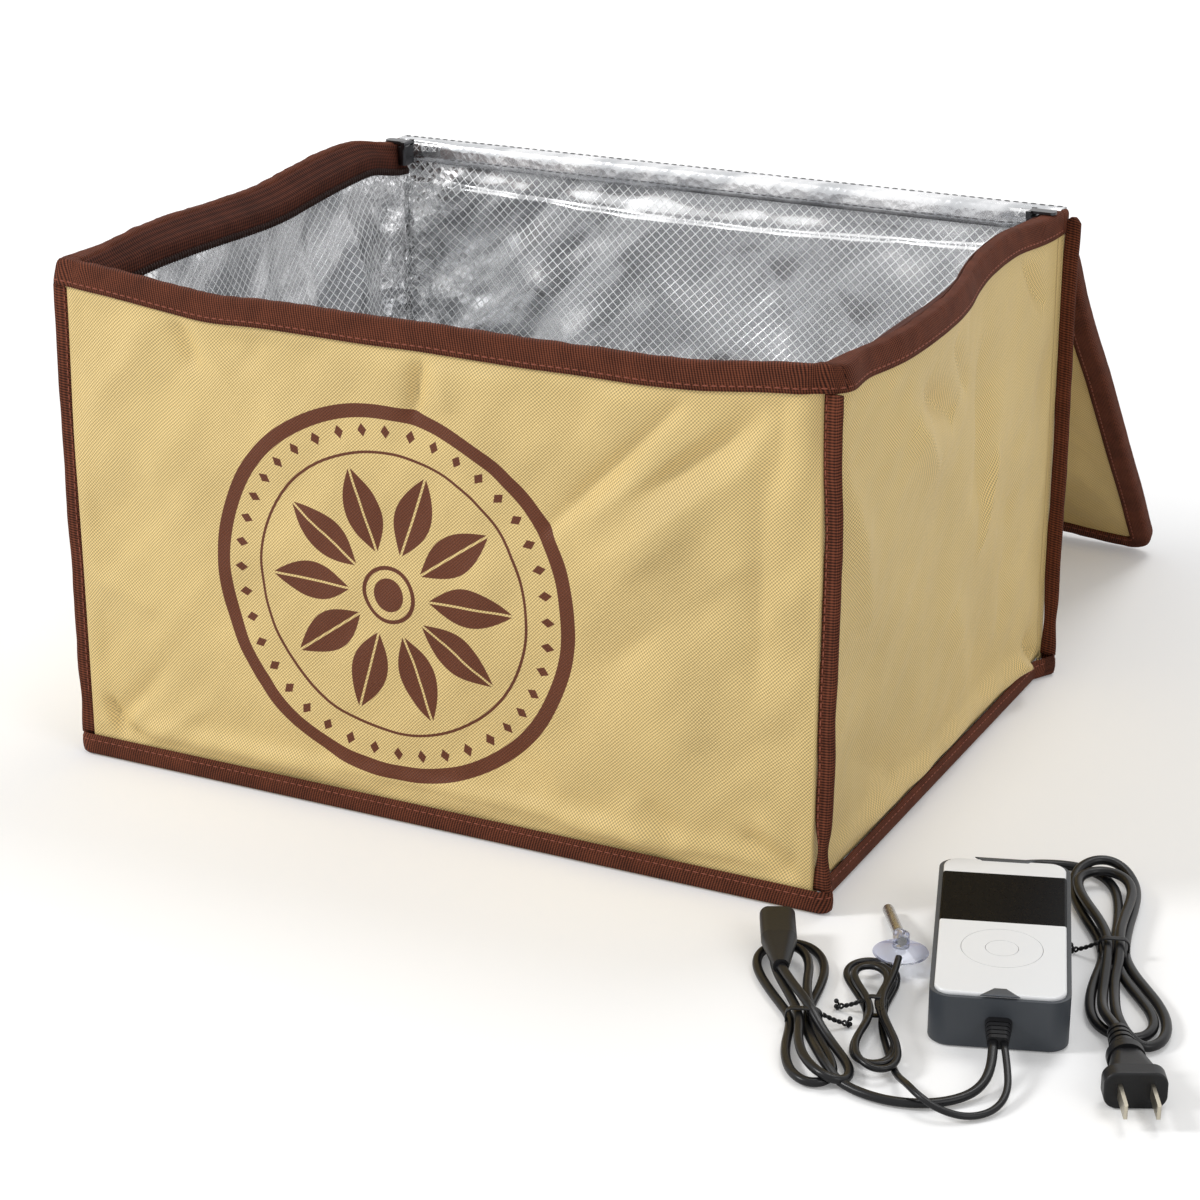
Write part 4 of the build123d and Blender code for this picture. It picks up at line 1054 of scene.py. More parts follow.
def wallParts(wallName, low=None, high=None):
    # the outer cloth and the foam with its foil, both following the same folds
    rear = wallName == "rear"
    extra = inletHole["x"] if rear else ()
    line, along = wallLine(wallName, 2.4, low, high, extra)
    # the sides end a little higher, clear of the heating pad when they fold in
    foot = bag["foot" if wallName in ("front", "rear") else "sideFoot"]
    z = stations(foot, bag["clothTop"], 2.4, inletHole["z"] + tuple(range(222, 234)) if rear else ())
    pattern = lay(along, z)
    cloth = clothRelief(wallName, pattern[..., 0], pattern[..., 1])
    film = foilRelief(wallName, pattern[..., 0], pattern[..., 1])
    layers = []
    # the film keeps behind the zip tape, which starts a little under the rim
    behind = -0.7 - 9 * (1 - smoothStep(pattern[..., 1], 216, 229))
    inside = cloth + film if rear else np.maximum(cloth + film, behind)
    for offset in (bag["wall"], bag["liner"], 0.0):
        grid = sheetAt(line, z, offset)
        layers.append(pushed(grid, line, cloth if offset else inside))
    hole = None
    if rear:
        hole = [
            [int(np.argmin(np.abs(places - edge))) for edge in inletHole[axis]]
            for places, axis in ((along, "x"), (z, "z"))
        ]
    shell = slab(layers[0], layers[1], pattern, hole=hole)
    foam = slab(layers[1], layers[2], pattern, (1, 0, 1), hole)
    return shell, foam


def declare(piece, body, replaced, pair=None):
    # carries a piece on one body; when a pair is given it only bakes the piece's placement into its mesh
    if pair:
        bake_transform(piece)
    else:
        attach(piece, body)
    if replaced:
        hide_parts(*replaced)
    return piece


def creaseOf(side):
    # the two halves of a side wall and the short line across its middle crease
    x = bag["crease"] if side == "right" else -bag["crease"]
    return (side + "_rear_half", side + "_front_half"), ((x, 5, 130), (x, -5, 130))


def makeWalls():
    # each wall is a cloth sheet and a foam sheet behind it, set along the wall's plan line
    for wallName, w in walls.items():
        shell, foam = wallParts(wallName, w["low"], w.get("high"))
        cloth = printedCloth if wallName == "front" else creamCloth
        outside = finishPiece(wallName + "Cloth", shell, [], [cloth])
        film = {"rear": foilRear, "left": foilLeft}.get(wallName, foilSheet)
        inside = finishPiece(wallName + "Foam", foam, [], [film, foamEdge])
        body, pair, names = wallName, None, [wallName]
        if wallName in ("left", "right"):
            body, pair = creaseOf(wallName)
            names = [wallName + "_rear", wallName + "_front"]
        declare(outside, body, [n + "_shell" for n in names], pair)
        declare(inside, body, [n + "_liner" for n in names], pair)


makeWalls()
print("walls made")

# binding tape over the rim, with the zip tape inside it

rim = {
    "legEnd": 238.0,
    "shoulder": 2.8,
    "stitchUp": 2.3,
    "zipLow": 232.0,
    "toothPitch": 2.2,
}


def rimProfile():
    # up the outer leg, over the top with rounded shoulders and down the inner leg
    o, i, r = bag["wall"] + bag["tape"], -bag["tape"], rim["shoulder"]
    turn = np.linspace(0, math.pi / 2, 6)
    z = np.linspace(rim["legEnd"], bag["height"] - r, 5)[:-1]
    outside = np.stack([np.full_like(z, o), z], axis=1)
    first = np.stack([o - r + r * np.cos(turn), bag["height"] - r + r * np.sin(turn)], axis=1)
    second = np.stack([i + r - r * np.sin(turn), bag["height"] - r + r * np.cos(turn)], axis=1)
    inside = np.stack([np.full_like(z, i), z[::-1]], axis=1)
    return np.concatenate([outside, first, second, inside])


def onWall(line, offset, z):
    # one line along a wall at an offset and a height
    return wrapWall(line, [(offset, z)])[:, 0]


def underTape(profile):
    # the tape's inner side: its profile held to the wall's two faces and the cloth's top
    offset, z = profile[:, 0], profile[:, 1]
    return np.stack([np.clip(offset, 0, bag["wall"]), np.minimum(z, bag["clothTop"])], axis=1)


def rimParts(wallName, low=None, high=None):
    # the rim profile carried along the wall's top, with a row of stitches near its outer edge
    line, along = wallLine(wallName, 2.5, low, high)
    profile = rimProfile()
    inner = underTape(profile)
    pattern = lay(along, distance(profile))
    outer = wrapWall(line, profile)
    # the tape ruffles a little where it was drawn round the edge
    seed = 7 if wallName == "front" else 8
    ruffle = 0.32 * softFolds(pattern[..., 0], pattern[..., 1], seed, 13, 0.3, 0.7, 3)
    ruffle *= np.sin(np.linspace(0, math.pi, len(profile)))[None] ** 0.5
    outer[..., 2] += ruffle * 0.8
    side = np.sign(profile[:, 0] - bag["wall"] / 2)
    outer[..., :2] += outwards(line)[:, None] * (ruffle * side)[..., None]
    seam = onWall(line, bag["wall"] + bag["tape"] + 0.12, rim["legEnd"] + rim["stitchUp"])
    normal = np.concatenate([outwards(line), np.zeros((len(line), 1))], axis=1)
    return slab(outer, wrapWall(line, inner), pattern), stitches(settle(seam), normal)


def toothRow(line):
    # zip coil: one small bent loop of wire a pitch along the tape's lower edge
    travelled = distance(line)
    count = int(travelled[-1] / rim["toothPitch"])
    place = (np.arange(count) + 0.5) * rim["toothPitch"]
    centre = np.stack([np.interp(place, travelled, line[:, k]) for k in range(3)], axis=-1)
    run = unit(np.stack([np.interp(place, travelled, np.gradient(line[:, k])) for k in range(3)], axis=-1))
    up = np.array([0.0, 0.0, 1.0])
    side = unit(np.cross(run, up))
    turn = fullTurn(6)
    high = np.array([-1.9, -1.2, 1.2, 1.9])
    swell = np.array([0.35, 1.0, 1.0, 0.35])
    ring = (
        centre[:, None, None]
        + up * high[None, :, None, None]
        + run[:, None, None] * np.cos(turn)[None, None, :, None] * swell[None, :, None, None] * 0.75
        + side[:, None, None] * np.sin(turn)[None, None, :, None] * swell[None, :, None, None] * 0.95
    )
    rings = ring.reshape(-1, 4, 6, 3)
    first, last = rings[:, :1].mean(axis=2, keepdims=True), rings[:, -1:].mean(axis=2, keepdims=True)
    rings = np.concatenate([np.repeat(first, 6, axis=2), rings, np.repeat(last, 6, axis=2)], axis=1)
    return manyRings(rings, 2)


def hung(points):
    # the zip tape hangs straight down inside a rim that leans out
    stood = settle(points)
    out = np.maximum(np.abs(stood[..., 0]) - np.abs(points[..., 0]), 0)
    stood[..., 0] -= np.sign(points[..., 0]) * out * smoothStep(bag["height"] - points[..., 2], 1.5, 9)
    return stood


def zipParts(wallName, low, high):
    # a flat tape inside the rim and the coil along its lower edge
    if wallName == "front":
        line, along = (values[4:-4] for values in wallLine("front", 3.0, [bag["seam"]] * 2))
    else:
        line, along = wallLine(wallName, 3.0, low, high)
    z = np.linspace(rim["zipLow"], bag["clothTop"], 8)
    pattern = lay(along, z)
    face, back = -bag["tape"], -2 * bag["tape"]
    grids = [sheetAt(line, z, offset) for offset in (face, back)]
    if wallName == "front":
        for grid in grids:
            grid[..., 0] = np.clip(grid[..., 0], -182.2, 182.2)
    coilLine = onWall(line, back - 0.95, rim["zipLow"] + 2.0)
    keep = np.abs(coilLine[:, 0]) < 180 if wallName == "front" else np.abs(coilLine[:, 1]) < 146
    stand = settle if wallName == "front" else hung
    tape = slab(stand(grids[0]), stand(grids[1]), pattern, (1, 1, 1))
    return tape, toothRow(stand(coilLine[keep]))


def makeRims():
    # the front's zip is a piece of its own, the sides' zips are sewn into their rims
    materials = [brownTape, darkTape, coilBrown, threadRed]
    for wallName in ("front", "left", "right"):
        side = wallName != "front"
        tape, seam = rimParts(wallName, walls[wallName]["low"], bag["seam"] if side else None)
        zipTape, coil = zipParts(wallName, -147.3, 145.6)
        seam["slot"] = 3
        if side:
            piece = finishPiece(wallName + "Rim", tape, zipTape + [seam, coil], materials)
            bodies, pair = creaseOf(wallName)
            nodes = [wallName + "_rear_rim", wallName + "_front_rim"]
            declare(piece, bodies, nodes, pair)
            continue
        piece = finishPiece("frontRim", tape, [seam], materials)
        declare(piece, "front", ["front_rim"])
        piece = finishPiece("frontZip", [], zipTape + [coil], materials)
        declare(piece, "front", ["front_zip_tape"])


makeRims()


def makeCornerWraps():
    # cloth, foam and rim carried round a corner, where two walls turn against each other
    corners = {"rearLeft": (-1, 1), "rearRight": (1, 1), "frontLeft": (-1, -1)}
    for name, (signX, signY) in corners.items():
        side = "left" if signX < 0 else "right"
        line, along = wallLine(side, 1.0, *sorted((signY * 146.6, signY * 152.6)))
        z = stations(bag["sideFoot"], bag["clothTop"], 4.0)
        pattern = lay(along, z)
        cloth, inside, film = (sheetAt(line, z, offset) for offset in (bag["wall"], bag["liner"], 0.0))
        parts = slab(cloth, inside, pattern) + slab(inside, film, pattern, (1, 1, 1))
        bodies = ("rear", side + "_rear_half") if signY > 0 else (side + "_front_half", "front")
        inner, outer = ((signX * bag["pivot"], signY * y, 130) for y in (147.0, 151.5))
        pair = (outer, inner) if signY > 0 else (inner, outer)
        if signY < 0:
            profile = rimProfile()
            over = lay(along, distance(profile))
            parts += slab(wrapWall(line, profile), wrapWall(line, underTape(profile)), over, (2, 2, 2))
        piece = finishPiece(name + "Wrap", parts, [], [creamCloth, foilRough, brownTape])
        declare(piece, bodies, [], pair)


makeCornerWraps()
print("rims, zips and corners made")

# bound seams that stand out at the upright corners

flange = {"wide": 8.0, "thick": 3.4, "low": 10.6, "high": {-1: 237.6, 1: 246.0}, "knot": 0.2, "bigKnot": 0.42}


def flangePart(signX, signY, knot):
    # a flat oval carried up the corner, drawn in and twisted near its foot
    high, halfWide, halfThick = flange["high"][signY], flange["wide"] / 2, flange["thick"] / 2
    tip = high - np.array([2, 1.2, 0.5, 0])
    z = np.concatenate([np.linspace(flange["low"], 50, 26), np.linspace(52, high - 3, 80), tip])
    turn = fullTurn(24)
    wave = 0.5 * lattice(z / 31, z * 0 + signX + 2.5 * signY, 5)
    waist = 1 - knot * bell(z, 30, 8) + 0.25 * knot * bell(z, 14, 5)
    half = halfWide * waist * (1 + 0.05 * lattice(z / 17, z * 0, 9 + signX))
    half = half * (np.sqrt(np.clip((high + 0.4 - z) / 3.4, 0, 1)) if signY > 0 else 1)
    twist = 0.5 * knot * bell(z, 26, 12)
    cosTwist, sinTwist = np.cos(twist), np.sin(twist)
    flatX = power(np.cos(turn), 0.55) * half[:, None]
    thick = halfThick * (1 + 0.18 * lattice(z / 9, z * 0, 4))[:, None]
    # thicker along the free edge, thinner where it is sewn
    body = 0.78 + 0.22 * np.clip(flatX / half[:, None], -1, 1)
    flatY = power(np.sin(turn), 0.7) * thick * body

    def atCorner(x, y, z):
        return np.stack([signX * (outerFace[0] + x), signY * (outerFace[1] - halfThick + y), z], axis=-1)

    x = halfWide + wave[:, None] + flatX * cosTwist[:, None] - flatY * sinTwist[:, None]
    y = flatX * sinTwist[:, None] + flatY * cosTwist[:, None]
    points = atCorner(x, y, z[:, None] + 0 * x)
    pattern = np.stack(np.broadcast_arrays(z[:, None], turn * 2.6), axis=-1)
    pattern = np.concatenate([pattern[:1], pattern, pattern[-1:]])
    seamX = halfWide + wave - half * 0.55 * cosTwist
    seamY = halfThick * 0.72 - half * 0.55 * sinTwist
    seam = atCorner(seamX, seamY + 0.25, z)
    return patch(capped(points), pattern, 0, closeColumns=True), stitches(settle(seam[14:]), (0, signY, 0))


def makeFlanges():
    # the two upright seams of each end, knotted hardest at the right front corner
    for end, signY in (("front", -1), ("rear", 1)):
        soft, hard = [], []
        for signX in (-1, 1):
            knot = flange["bigKnot" if (signX, signY) == (1, -1) else "knot"]
            tape, seam = flangePart(signX, signY, knot)
            soft.append(tape)
            hard.append(seam)
            if signY > 0:
                # the end of the top edge tape, turned in over the corner
                side = "right" if signX > 0 else "left"
                line, along = wallLine(side, 1.2, bag["seam"] + 0.2, outerFace[1])
                profile = rimProfile()[:9]
                under = np.minimum(profile - [0.9, 0], [bag["wall"], bag["clothTop"]])
                over = lay(along, distance(profile))
                soft += slab(wrapWall(line, profile), wrapWall(line, under), over)
        piece = finishPiece(end + "CornerTape", soft, hard, [brownTape, threadRed])
        declare(piece, end, [end + "_corner_bindings"])


makeFlanges()

# base: cloth, foam, heating pad and the bound bottom edge

base = {"half": (192.3, 157.3), "top": 7.0, "rise": 3.1, "round": 4.0, "ears": 6.5}


def declareSquashed(piece, node):
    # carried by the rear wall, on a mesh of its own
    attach(piece, "rear")
    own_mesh(piece)
    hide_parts(node)


def raised(flat, z):
    # a height on each point of a flat grid
    return np.concatenate([flat, np.broadcast_to(z, flat.shape[:2])[..., None]], axis=-1)


def makeBase():
    # two flat sheets; the foam dimples inside its edges and turns up under the sides
    x, y = (stations(-half, half, 4.0) for half in base["half"])
    pattern = lay(x, y)
    under, between = raised(pattern, 0.0), raised(pattern, bag["tape"])
    dimple = np.minimum(0, 1.3 * creases(pattern[..., 0], pattern[..., 1], 41, 52) - 1.0)
    edge = smoothStep(182 - np.abs(pattern[..., 0]), 0, 6) * smoothStep(147 - np.abs(pattern[..., 1]), 0, 6)
    cloth = finishPiece("baseCloth", [], slab(between, under, pattern), [creamCloth])
    rise = base["rise"] * smoothStep(np.abs(pattern[..., 0]), 183.5, 186.5)
    rise = rise * smoothStep(pattern[..., 1], -121, -117) * smoothStep(150 - pattern[..., 1], 0, 3)
    foam = slab(raised(pattern, base["top"] + dimple * edge + rise), between, pattern, (0, 1, 1))
    foam = finishPiece("baseFoam", [], foam, [foilSheet, foamEdge])
    declareSquashed(cloth, "base_shell")
    declareSquashed(foam, "base_liner")


def roundedPath(halfX, halfY, radius, count=12, step=6.0):
    # plan of a rectangle with round corners and the unit direction away from it
    turn = np.linspace(0, math.pi / 2, count)
    points, away = [], []
    signs = ((1, 1), (-1, 1), (-1, -1), (1, -1))
    centres = np.array(signs) * (halfX - radius, halfY - radius)
    for k in range(4):
        angle = turn + k * math.pi / 2
        direction = np.stack([np.cos(angle), np.sin(angle)], axis=1)
        points.append(centres[k] + radius * direction)
        away.append(direction)
        start = points[-1][-1]
        end = centres[(k + 1) % 4] + radius * direction[-1]
        steps = int(np.linalg.norm(end - start) / step)
        share = np.linspace(0, 1, steps + 1)[1:-1, None]
        points.append(start + (end - start) * share)
        away.append(np.repeat(direction[-1:], steps - 1, axis=0))
    return np.concatenate(points), np.concatenate(away)


def ringTape(plan, away, profile):
    # a closed profile of (away, up) carried round a closed plan path
    carried = raised(plan[:, None] + away[:, None] * profile[None, :, :1], profile[None, :, 1])
    along = distance(np.concatenate([plan, plan[:1]]))[:-1]
    return patch(carried, lay(along, distance(profile)), closeRows=True, closeColumns=True)


def makeBaseTape():
    # a low bulging tape round the foot: 0.9 times the sine of its height, outside its flat profile
    plan, away = roundedPath(base["half"][0], base["half"][1], base["round"])
    # drawn out at its corners, where the upright seams are sewn in
    plan[:, 0] += np.sign(plan[:, 0]) * base["ears"] * smoothStep(np.abs(plan[:, 1]), 141, 154)
    z = np.array([11.0, 10.4, 8.5, 6.5, 4.5, 2.6, 1.2, 0.4, 0.0, 0.0])
    bulge = 0.9 * np.sin(np.clip(z / 11, 0, 1) * math.pi) ** 0.8
    outer = np.stack([np.array([0.9, 1.1, 1.2, 1.2, 1.2, 1.2, 1.1, 0.5, -0.6, -1.6]) + bulge, z], axis=1)
    inner = np.stack([np.array([0.3] * 7 + [0.05, -0.6, -1.6]), np.maximum(z - 0.3, 0.02)], axis=1)
    inner[:8, 1] = z[:8] - 0.2
    seam = np.concatenate([plan + away * 1.95, np.full((len(plan), 1), 8.3)], axis=1)
    normal = np.concatenate([away, np.zeros((len(plan), 1))], axis=1)
    tape = ringTape(plan, away, np.concatenate([outer, inner[::-1]]))
    piece = finishPiece("baseTape", [tape], [stitches(settle(seam), normal)], [brownTape, threadRed])
    declareSquashed(piece, "base_binding")


pad = {"x": 150.0, "y": (-103.0, 137.0), "low": 7.0, "thick": 3.0, "round": 12.0, "quilt": 24.0}
padCloth = tapeMaterial("padCloth", (0.2, 0.2, 0.205), pitch=1.4, slant=0.0, across=1.4)


def makePad():
    # heating mat: two skins drawn down to a bound edge, with low quilting across
    halfY = (pad["y"][1] - pad["y"][0]) / 2
    middleY = sum(pad["y"]) / 2
    u, v = np.meshgrid(np.linspace(-1, 1, 101), np.linspace(-1, 1, 81), indexing="ij")
    x, y = u * pad["x"], v * halfY
    beyondX = np.maximum(np.abs(x) - pad["x"] + pad["round"], 0)
    beyondY = np.maximum(np.abs(y) - halfY + pad["round"], 0)
    radius = np.maximum(np.hypot(beyondX, beyondY), 1e-9)
    share = np.maximum(beyondX, beyondY) / radius - 1
    x, y = x + np.sign(x) * beyondX * share, y + np.sign(y) * beyondY * share
    away = np.minimum(pad["x"] - np.abs(u * pad["x"]), halfY - np.abs(v * halfY))
    puff = 0.45 + 0.55 * smoothStep(away, 0, 3) - 0.3 * bell(away, 7, 0.9)
    puff = puff - 0.06 * (1 - np.abs(np.sin(y * math.pi / pad["quilt"])) ** 0.4)
    top = np.stack([x, y + middleY, pad["low"] + pad["thick"] * puff], axis=-1)
    under = np.stack([x, y + middleY, np.full_like(x, pad["low"] + 0.02)], axis=-1)
    piece = finishPiece("heatingMat", [], slab(top, under, np.stack([x, y], axis=-1)), [padCloth])
    declareSquashed(piece, "heating_pad")


makeBase()
makeBaseTape()
makePad()
print("base made")

# lid, thrown open over the back

lid = {
    "hinge": (160.0, 250.0),
    "lean": math.radians(40.73),
    "half": 192.0,
    "along": (11.0, 318.2),
    "inside": 4.0,
    "round": 14.0,
    "leg": 12.0,
}


def lidPlace(x, along, out):
    # across, down the lid from its hinge and out from its foil side, to the bag's own axes
    sin, cos = math.sin(lid["lean"]), math.cos(lid["lean"])
    y = lid["hinge"][0] + along * sin - out * cos
    z = lid["hinge"][1] - along * cos - out * sin
    return np.stack([x, y, z], axis=-1)


def lidSag(x, along):
    # the free edge rests on the floor and the panel bows a little between it and the hinge
    share = (along - lid["along"][0]) / (lid["along"][1] - lid["along"][0])
    middle = np.sin(np.clip(share, 0, 1) * math.pi)
    bow = 1.8 * middle * (1 - (x / lid["half"]) ** 2)
    # its edges follow the rim that they close on
    follow = rimLift(x, lid["hinge"][0] - along) * smoothStep(along, 15, 60)
    loose = 0.8 * softFolds(x, along, 44, 90) * middle
    return bow + follow + loose * smoothStep(lid["half"] - np.abs(x), 5, 60)


def makeLid():
    # two sheets on the lid's plane with round free corners: sag, then loose folds away from the edges
    length = lid["along"][1]
    x, v = stations(-lid["half"], lid["half"], 2.6), stations(lid["along"][0], length, 2.6)
    flatX, flatV = np.meshgrid(x, v, indexing="ij")
    beyondX = np.maximum(np.abs(flatX) - lid["half"] + lid["round"], 0)
    beyondV = np.maximum(flatV - length + lid["round"], 0)
    share = np.maximum(beyondX, beyondV) / np.maximum(np.hypot(beyondX, beyondV), 1e-9) - 1
    planX, planV = flatX + np.sign(flatX) * beyondX * share, flatV + beyondV * share
    pattern = np.stack([planX, planV], axis=-1)
    away = np.minimum(lid["half"] - np.abs(flatX), np.minimum(length - flatV, flatV - lid["along"][0] + 4))
    soft = smoothStep(away, 10, 24)
    sag = lidSag(planX, planV)
    loose = softFolds(planX, planV, 45, 40) + 0.5 * softFolds(planX, planV, 46, 16, 0.8, 2.5)
    cloth = sag + soft * loose
    film = soft * (creases(planX, planV, 47, 44) - 0.5)
    outs = [bag["wall"] + cloth, bag["liner"] + cloth, sag + np.maximum(film, -1.5)]
    grids = [lidPlace(planX, planV, lid["inside"] + out) for out in outs]
    shell = finishPiece("lidCloth", [], slab(grids[0], grids[1], pattern), [creamCloth])
    foam = finishPiece("lidFoam", [], slab(grids[1], grids[2], pattern, (1, 0, 1)), [foilSheet, foamEdge])
    declare(shell, "lid", ["lid_shell"])
    declare(foam, "lid", ["lid_liner"])


def lidEdge():
    # plan line round the lid's three free sides with the direction away from it
    turn = np.linspace(0, math.pi / 2, 12)
    r, half, far = lid["round"], lid["half"], lid["along"][1]
    sides = stations(lid["along"][0], far - r, 2.5)
    across = stations(-half + r, half - r, 2.5)[1:-1]
    left = np.stack([np.full_like(sides, -half), sides], axis=1)
    cornerL = np.stack([-half + r - r * np.cos(turn), far - r + r * np.sin(turn)], axis=1)[1:]
    bottom = np.stack([across, np.full_like(across, far)], axis=1)
    cornerR = cornerL[::-1] * np.array([-1, 1])
    line = np.concatenate([left, cornerL, bottom, cornerR, left[::-1] * np.array([-1, 1])])
    tangent = unit(np.gradient(line, axis=0))
    away = np.stack([-tangent[:, 1], tangent[:, 0]], axis=1)
    return line, away * np.sign(away[len(away) // 2, 1]), distance(line)


def lidCarry(line, away, profile):
    # each (away, out) of a profile at each point of the lid's edge
    profile = np.asarray(profile, float)
    flat = line[:, None] + away[:, None] * profile[None, :, :1]
    out = profile[None, :, 1] + lidSag(flat[..., 0], flat[..., 1])
    return lidPlace(flat[..., 0], flat[..., 1], out)


def makeLidTape():
    # a tape folded round the lid's free edge: outer leg, rounded shoulders, inner leg
    line, away, along = lidEdge()
    low, high, leg, tape = lid["inside"], lid["inside"] + bag["wall"], lid["leg"] - bag["tape"], bag["tape"]
    turn = np.linspace(0, math.pi / 2, 6)
    r = rim["shoulder"]
    cos, sin = r * np.cos(turn), r * np.sin(turn)
    legSteps = np.linspace(-leg, tape - r, 5)[:-1]
    top = np.stack([legSteps, np.full(4, high + tape)], axis=1)
    first = np.stack([tape - r + sin, high + tape - r + cos], axis=1)
    second = np.stack([tape - r + cos, low - tape + r - sin], axis=1)
    under = np.stack([legSteps[::-1], np.full(4, low - tape)], axis=1)
    profile = np.concatenate([top, first, second, under])
    inner = np.stack([np.minimum(profile[:, 0], 0.0), np.clip(profile[:, 1], low, high)], axis=1)
    pattern = lay(along, distance(profile))
    ruffle = 0.3 * softFolds(pattern[..., 0], pattern[..., 1], 17, 13, 0.3, 0.7, 3)
    outer = lidCarry(line, away, profile)
    outer[..., 2] += ruffle * np.sin(np.linspace(0, math.pi, len(profile)))[None] ** 0.5
    seam = lidCarry(line, away, [(-leg + rim["stitchUp"], high + tape + 0.12)])[:, 0]
    thread = stitches(seam, (0, -math.cos(lid["lean"]), -math.sin(lid["lean"])))
    parts = slab(outer, lidCarry(line, away, inner), pattern) + [thread]
    piece = finishPiece("lidTape", [], parts, [brownTape, threadRed])
    declare(piece, "lid", ["lid_binding"])
    # the other half of the zip lies along the foil side
    flat = np.stack([np.linspace(-leg - 16, -leg, 6), np.full(6, low - 1.25)], axis=1)
    zipPattern = lay(along, flat[:, 0])
    zipTape = slab(lidCarry(line, away, flat), lidCarry(line, away, flat + [0, 1.2]), zipPattern, (1, 1, 1))
    coil = toothRow(lidCarry(line, away, [(-leg - 14, low - 2.1)])[:, 0])
    piece = finishPiece("lidZip", [], zipTape + [coil], [brownTape, darkTape, coilBrown])
    declare(piece, "lid", ["lid_zip_tape"])


hinge = {
    "half": 190.6,
    "thick": 1.1,
    # y and z up the rear wall's inner face and over its top to the hinge line
    "wallPath": [
        (148.3, 238.6), (148.6, 242), (149, 246), (149.6, 248.9), (150.8, 250.2), (154, 250.4),
        (158, 250.3), (160.8, 249.6),
    ],
}


def makeHingeStrip():
    # the strip's line in y and z, carried across x from the rear wall's top to the lid
    x = stations(-hinge["half"], hinge["half"], 5.0)
    lidPath = lidPlace(np.zeros(3), np.array([5.0, 9.0, 13.0]), np.array([2.6, 3.2, 3.6]))[:, 1:]
    path = np.concatenate([hinge["wallPath"], lidPath])
    normal = unit(np.gradient(path, axis=0)) @ np.array([[0, 1], [-1, 0]])
    under = path - normal * hinge["thick"]
    pattern = lay(x, distance(path))
    acrossX = np.broadcast_to(x[:, None], pattern.shape[:2])
    # its lower edge steps back at both ends, where the zip sliders come to lie when the sides fold in
    back = 1.75 * smoothStep(np.abs(x), 160, 167)
    steps = back[:, None] * np.interp(np.arange(len(path)), [2, 4], [1, 0])
    grids = [np.stack([acrossX, steps + p[:, 0], 0 * acrossX + p[:, 1]], axis=-1) for p in (path, under)]
    rows = []
    for place in (0.8, 5.8):
        at = np.array([np.interp(place, np.arange(len(path)), path[:, k]) for k in (0, 1)]) + [-0.15, 0.1]
        row = np.stack([x, at[0] + back * (place < 2), np.full_like(x, at[1])], axis=1)
        rows.append(stitches(row, (0, -0.6, 0.8), pitch=4.6, long=3.2, wide=0.8))
    parts = slab(grids[0], grids[1], pattern) + rows
    piece = finishPiece("hingeStrip", [], parts, [stripFoil, stripThread])
    declare(piece, ("rear", "lid"), ["lid_hinge_strip"], ((0, 157, 250), (0, 162.5, 247)))


stripThread = plastic("stripThread", (0.12, 0.12, 0.125), 0.6, grain=1500.0)
makeLid()
makeLidTape()
makeHingeStrip()
print("lid made")

# rigid parts: finishes for the CAD nodes, then what the case and leads carry besides


def glass(name):
    # soft clear vinyl: faintly blue, its edge a little violet where it is seen at a slant
    settings = {"Roughness": 0.08, "Transmission Weight": 0.9, "IOR": 1.42}
    material, tree, shader = startMaterial(name, settings)
    place = objectPlace(tree)
    edge = put(tree, "LayerWeight", {}, {"Blend": 0.35}).outputs["Facing"]
    tint = blendColor(tree, edge, (0.9, 0.94, 1.0), (0.42, 0.44, 0.86))
    wire(tree, shader, {"Base Color": tint})
    relief(tree, shader, noise(tree, place, 300.0, 2.0), 0.00003)
    return material


def darkGlass(name):
    # display window: black lacquer, its roughness = 0.25 plus a little fine dust noise
    material, tree, shader = startMaterial(name, {"Roughness": 0.28, "Specular IOR Level": 0.04})
    place = objectPlace(tree)
    dust = noise(tree, place, 900.0, 4.0)
    lacquer = blendColor(tree, dust, (0.002, 0.002, 0.0025), (0.004, 0.004, 0.0045))
    gloss = scaled(tree, dust, 0.06, 0.25)
    wire(tree, shader, {"Base Color": lacquer, "Roughness": gloss})
    return material


def dress(material, *nodes):
    # one finish on all slots of the named CAD nodes
    for node in nodes:
        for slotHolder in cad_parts[node].material_slots:
            slotHolder.material = material


caseGrey = plastic("caseGrey", (0.045, 0.052, 0.062), 0.42, grain=1400.0)
calmWhite = {"grain": 1200.0, "deep": 0.00001, "spread": 0.015, "cloudy": 0.02}
caseWhite = plastic("caseWhite", (0.78, 0.79, 0.8), 0.28, **calmWhite)
blackRubber = plastic("blackRubber", (0.009, 0.009, 0.01), 0.4, grain=1500.0, **cordGloss)
steel = metal("steel", (0.62, 0.62, 0.63), 0.26)
brass = metal("brass", (0.62, 0.57, 0.46), 0.3)
zipMetal = metal("zipMetal", (0.09, 0.09, 0.095), 0.28)
boardGreen = plastic("boardGreen", (0.02, 0.12, 0.045), 0.4, grain=700.0)
dress(caseGrey, "controller_back")
dress(caseWhite, "controller_cover", "dial_ring", "power_button")
dress(darkGlass("displayGlass"), "display_window")
dress(plastic("moduleGrey", (0.05, 0.05, 0.055), 0.5), "display_module")
dress(boardGreen, "control_board")
dress(steel, "case_screws", "sensor_probe")
dress(brass, "plug_blades", "inlet_pins")
dress(blackRubber, "mains_strain_relief", "output_strain_relief")
dress(blackRubber, "mains_plug", "heater_connector", "heater_inlet")
dress(glass("clearVinyl"), "suction_cup")
dress(zipMetal, "left_zip_slider", "right_zip_slider", "left_zip_pull", "right_zip_pull")

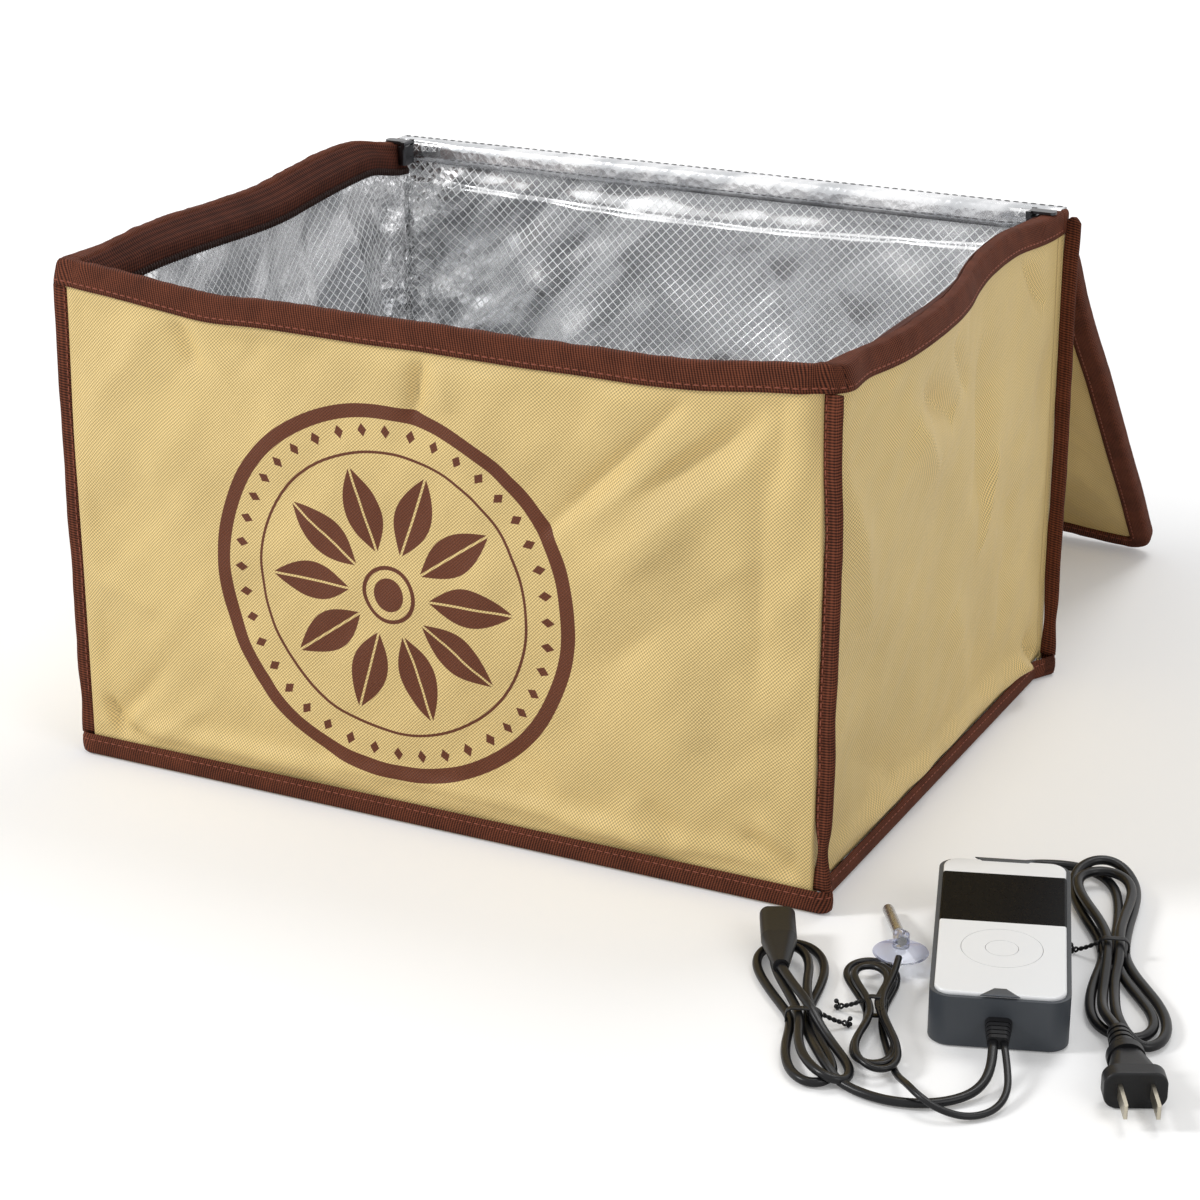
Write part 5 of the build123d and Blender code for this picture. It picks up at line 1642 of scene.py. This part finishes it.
inlay = {
    "top": {"near": 63.1, "far": 59.6, "halfNear": 13.2, "halfFar": 10.0},
    "bottom": {"near": -63.1, "far": -56.6, "halfNear": 8.0, "halfFar": 2.4},
    "low": 23.6,
    "high": 24.12,
}


def makeInlays():
    # dark notches at both ends of the white cover: a low plate whose width changes along it
    for name in ("top", "bottom"):
        i = inlay[name]
        u, v = np.meshgrid(np.linspace(-1, 1, 17), np.linspace(0, 1, 9), indexing="ij")
        half = i["halfNear"] + (i["halfFar"] - i["halfNear"]) * v
        x, y = u * half, i["near"] + (i["far"] - i["near"]) * v
        edge = np.minimum(1 - np.abs(u), np.minimum(v, 1 - v) * 0.8)
        high = inlay["high"] - 0.1 * np.exp(-edge / 0.05)
        top, low = np.stack([x, y, high], axis=-1), np.stack([x, y, np.full_like(x, inlay["low"])], axis=-1)
        parts = slab(laid(top), laid(low), np.stack([x, y], axis=-1))
        declare(buildPiece(name + "Notch", parts, [caseGrey]), "rear", [])


ties = {
    # both sides, height and place along each hank, and to which side the twisted ends lie
    "mains": {"from": 41.2, "to": 53.8, "high": 9.6, "at": 21.6, "tail": -1},
    "heater": {"from": -86.0, "to": -71.6, "high": 8.6, "at": -56.8, "tail": 1},
    "sensor": {"from": -55.0, "to": -45.6, "high": 8.6, "at": -42.7, "tail": -1},
}


def ballRings(centre, radius):
    # sine of the tilt times the turn's cosine and sine, cosine of the tilt upwards
    turn, tilt = fullTurn(12)[None], np.linspace(0, math.pi, 7)[:, None]
    ring = [np.sin(tilt) * np.cos(turn), np.sin(tilt) * np.sin(turn), np.cos(tilt) + 0 * turn]
    return centre + radius * np.stack(ring, axis=-1)


def makeTies():
    # wire tie: a ribbed band round each hank, its two ends twisted together and knobbed
    parts = []
    for t in ties.values():
        halfX, halfZ = (t["to"] - t["from"]) / 2 + 0.1, t["high"] / 2 + 0.1
        plan, away = roundedPath(halfX, halfZ, 3.2, step=1.2)
        plan = plan + [(t["from"] + t["to"]) / 2, t["high"] / 2 + 0.15]
        along = distance(np.concatenate([plan, plan[:1]]))[:-1]
        turn = fullTurn(14)
        out, wide = power(np.sin(turn), 0.6) * 0.45, power(np.cos(turn), 0.6) * 1.5
        ribs = 1 + 0.12 * np.sin(along * 2 * math.pi / 1.1)
        flat = plan[:, None] + away[:, None] * (out[None] * ribs[:, None])[..., None]
        y = np.broadcast_to(t["at"] + wide, flat.shape[:2])
        band = np.stack([flat[..., 0], y, flat[..., 1]], axis=-1)
        parts.append(patch(laid(band), closeRows=True, closeColumns=True))
        s = np.linspace(0, 1, 40)
        edgeX = t["to"] + 0.6 if t["tail"] > 0 else t["from"] - 0.6
        for phase in (0.0, math.pi):
            loose = 0.55 + 1.3 * smoothStep(s, 0.7, 1.0)
            spin = phase + s * 5.5 * math.pi
            path = np.stack(
                [
                    edgeX + t["tail"] * 11 * s,
                    t["at"] + 3.5 * s + loose * np.cos(spin),
                    np.maximum(t["high"] * 0.62 * (1 - s) ** 1.5 + 1.3 + loose * np.sin(spin), 0.6),
                ],
                axis=1,
            )
            wireRings = alongPath(path, oval(1.0, 1.0, 8))
            parts.append(patch(laid(capped(wireRings)), closeColumns=True))
            parts.append(patch(laid(ballRings(path[-1], 1.05) + [0, 0, 0.45]), closeColumns=True))
    declare(buildPiece("wireTies", parts, [blackRubber]), "rear", ["cord_ties"])


makeInlays()
makeTies()
print("controller and ties dressed")
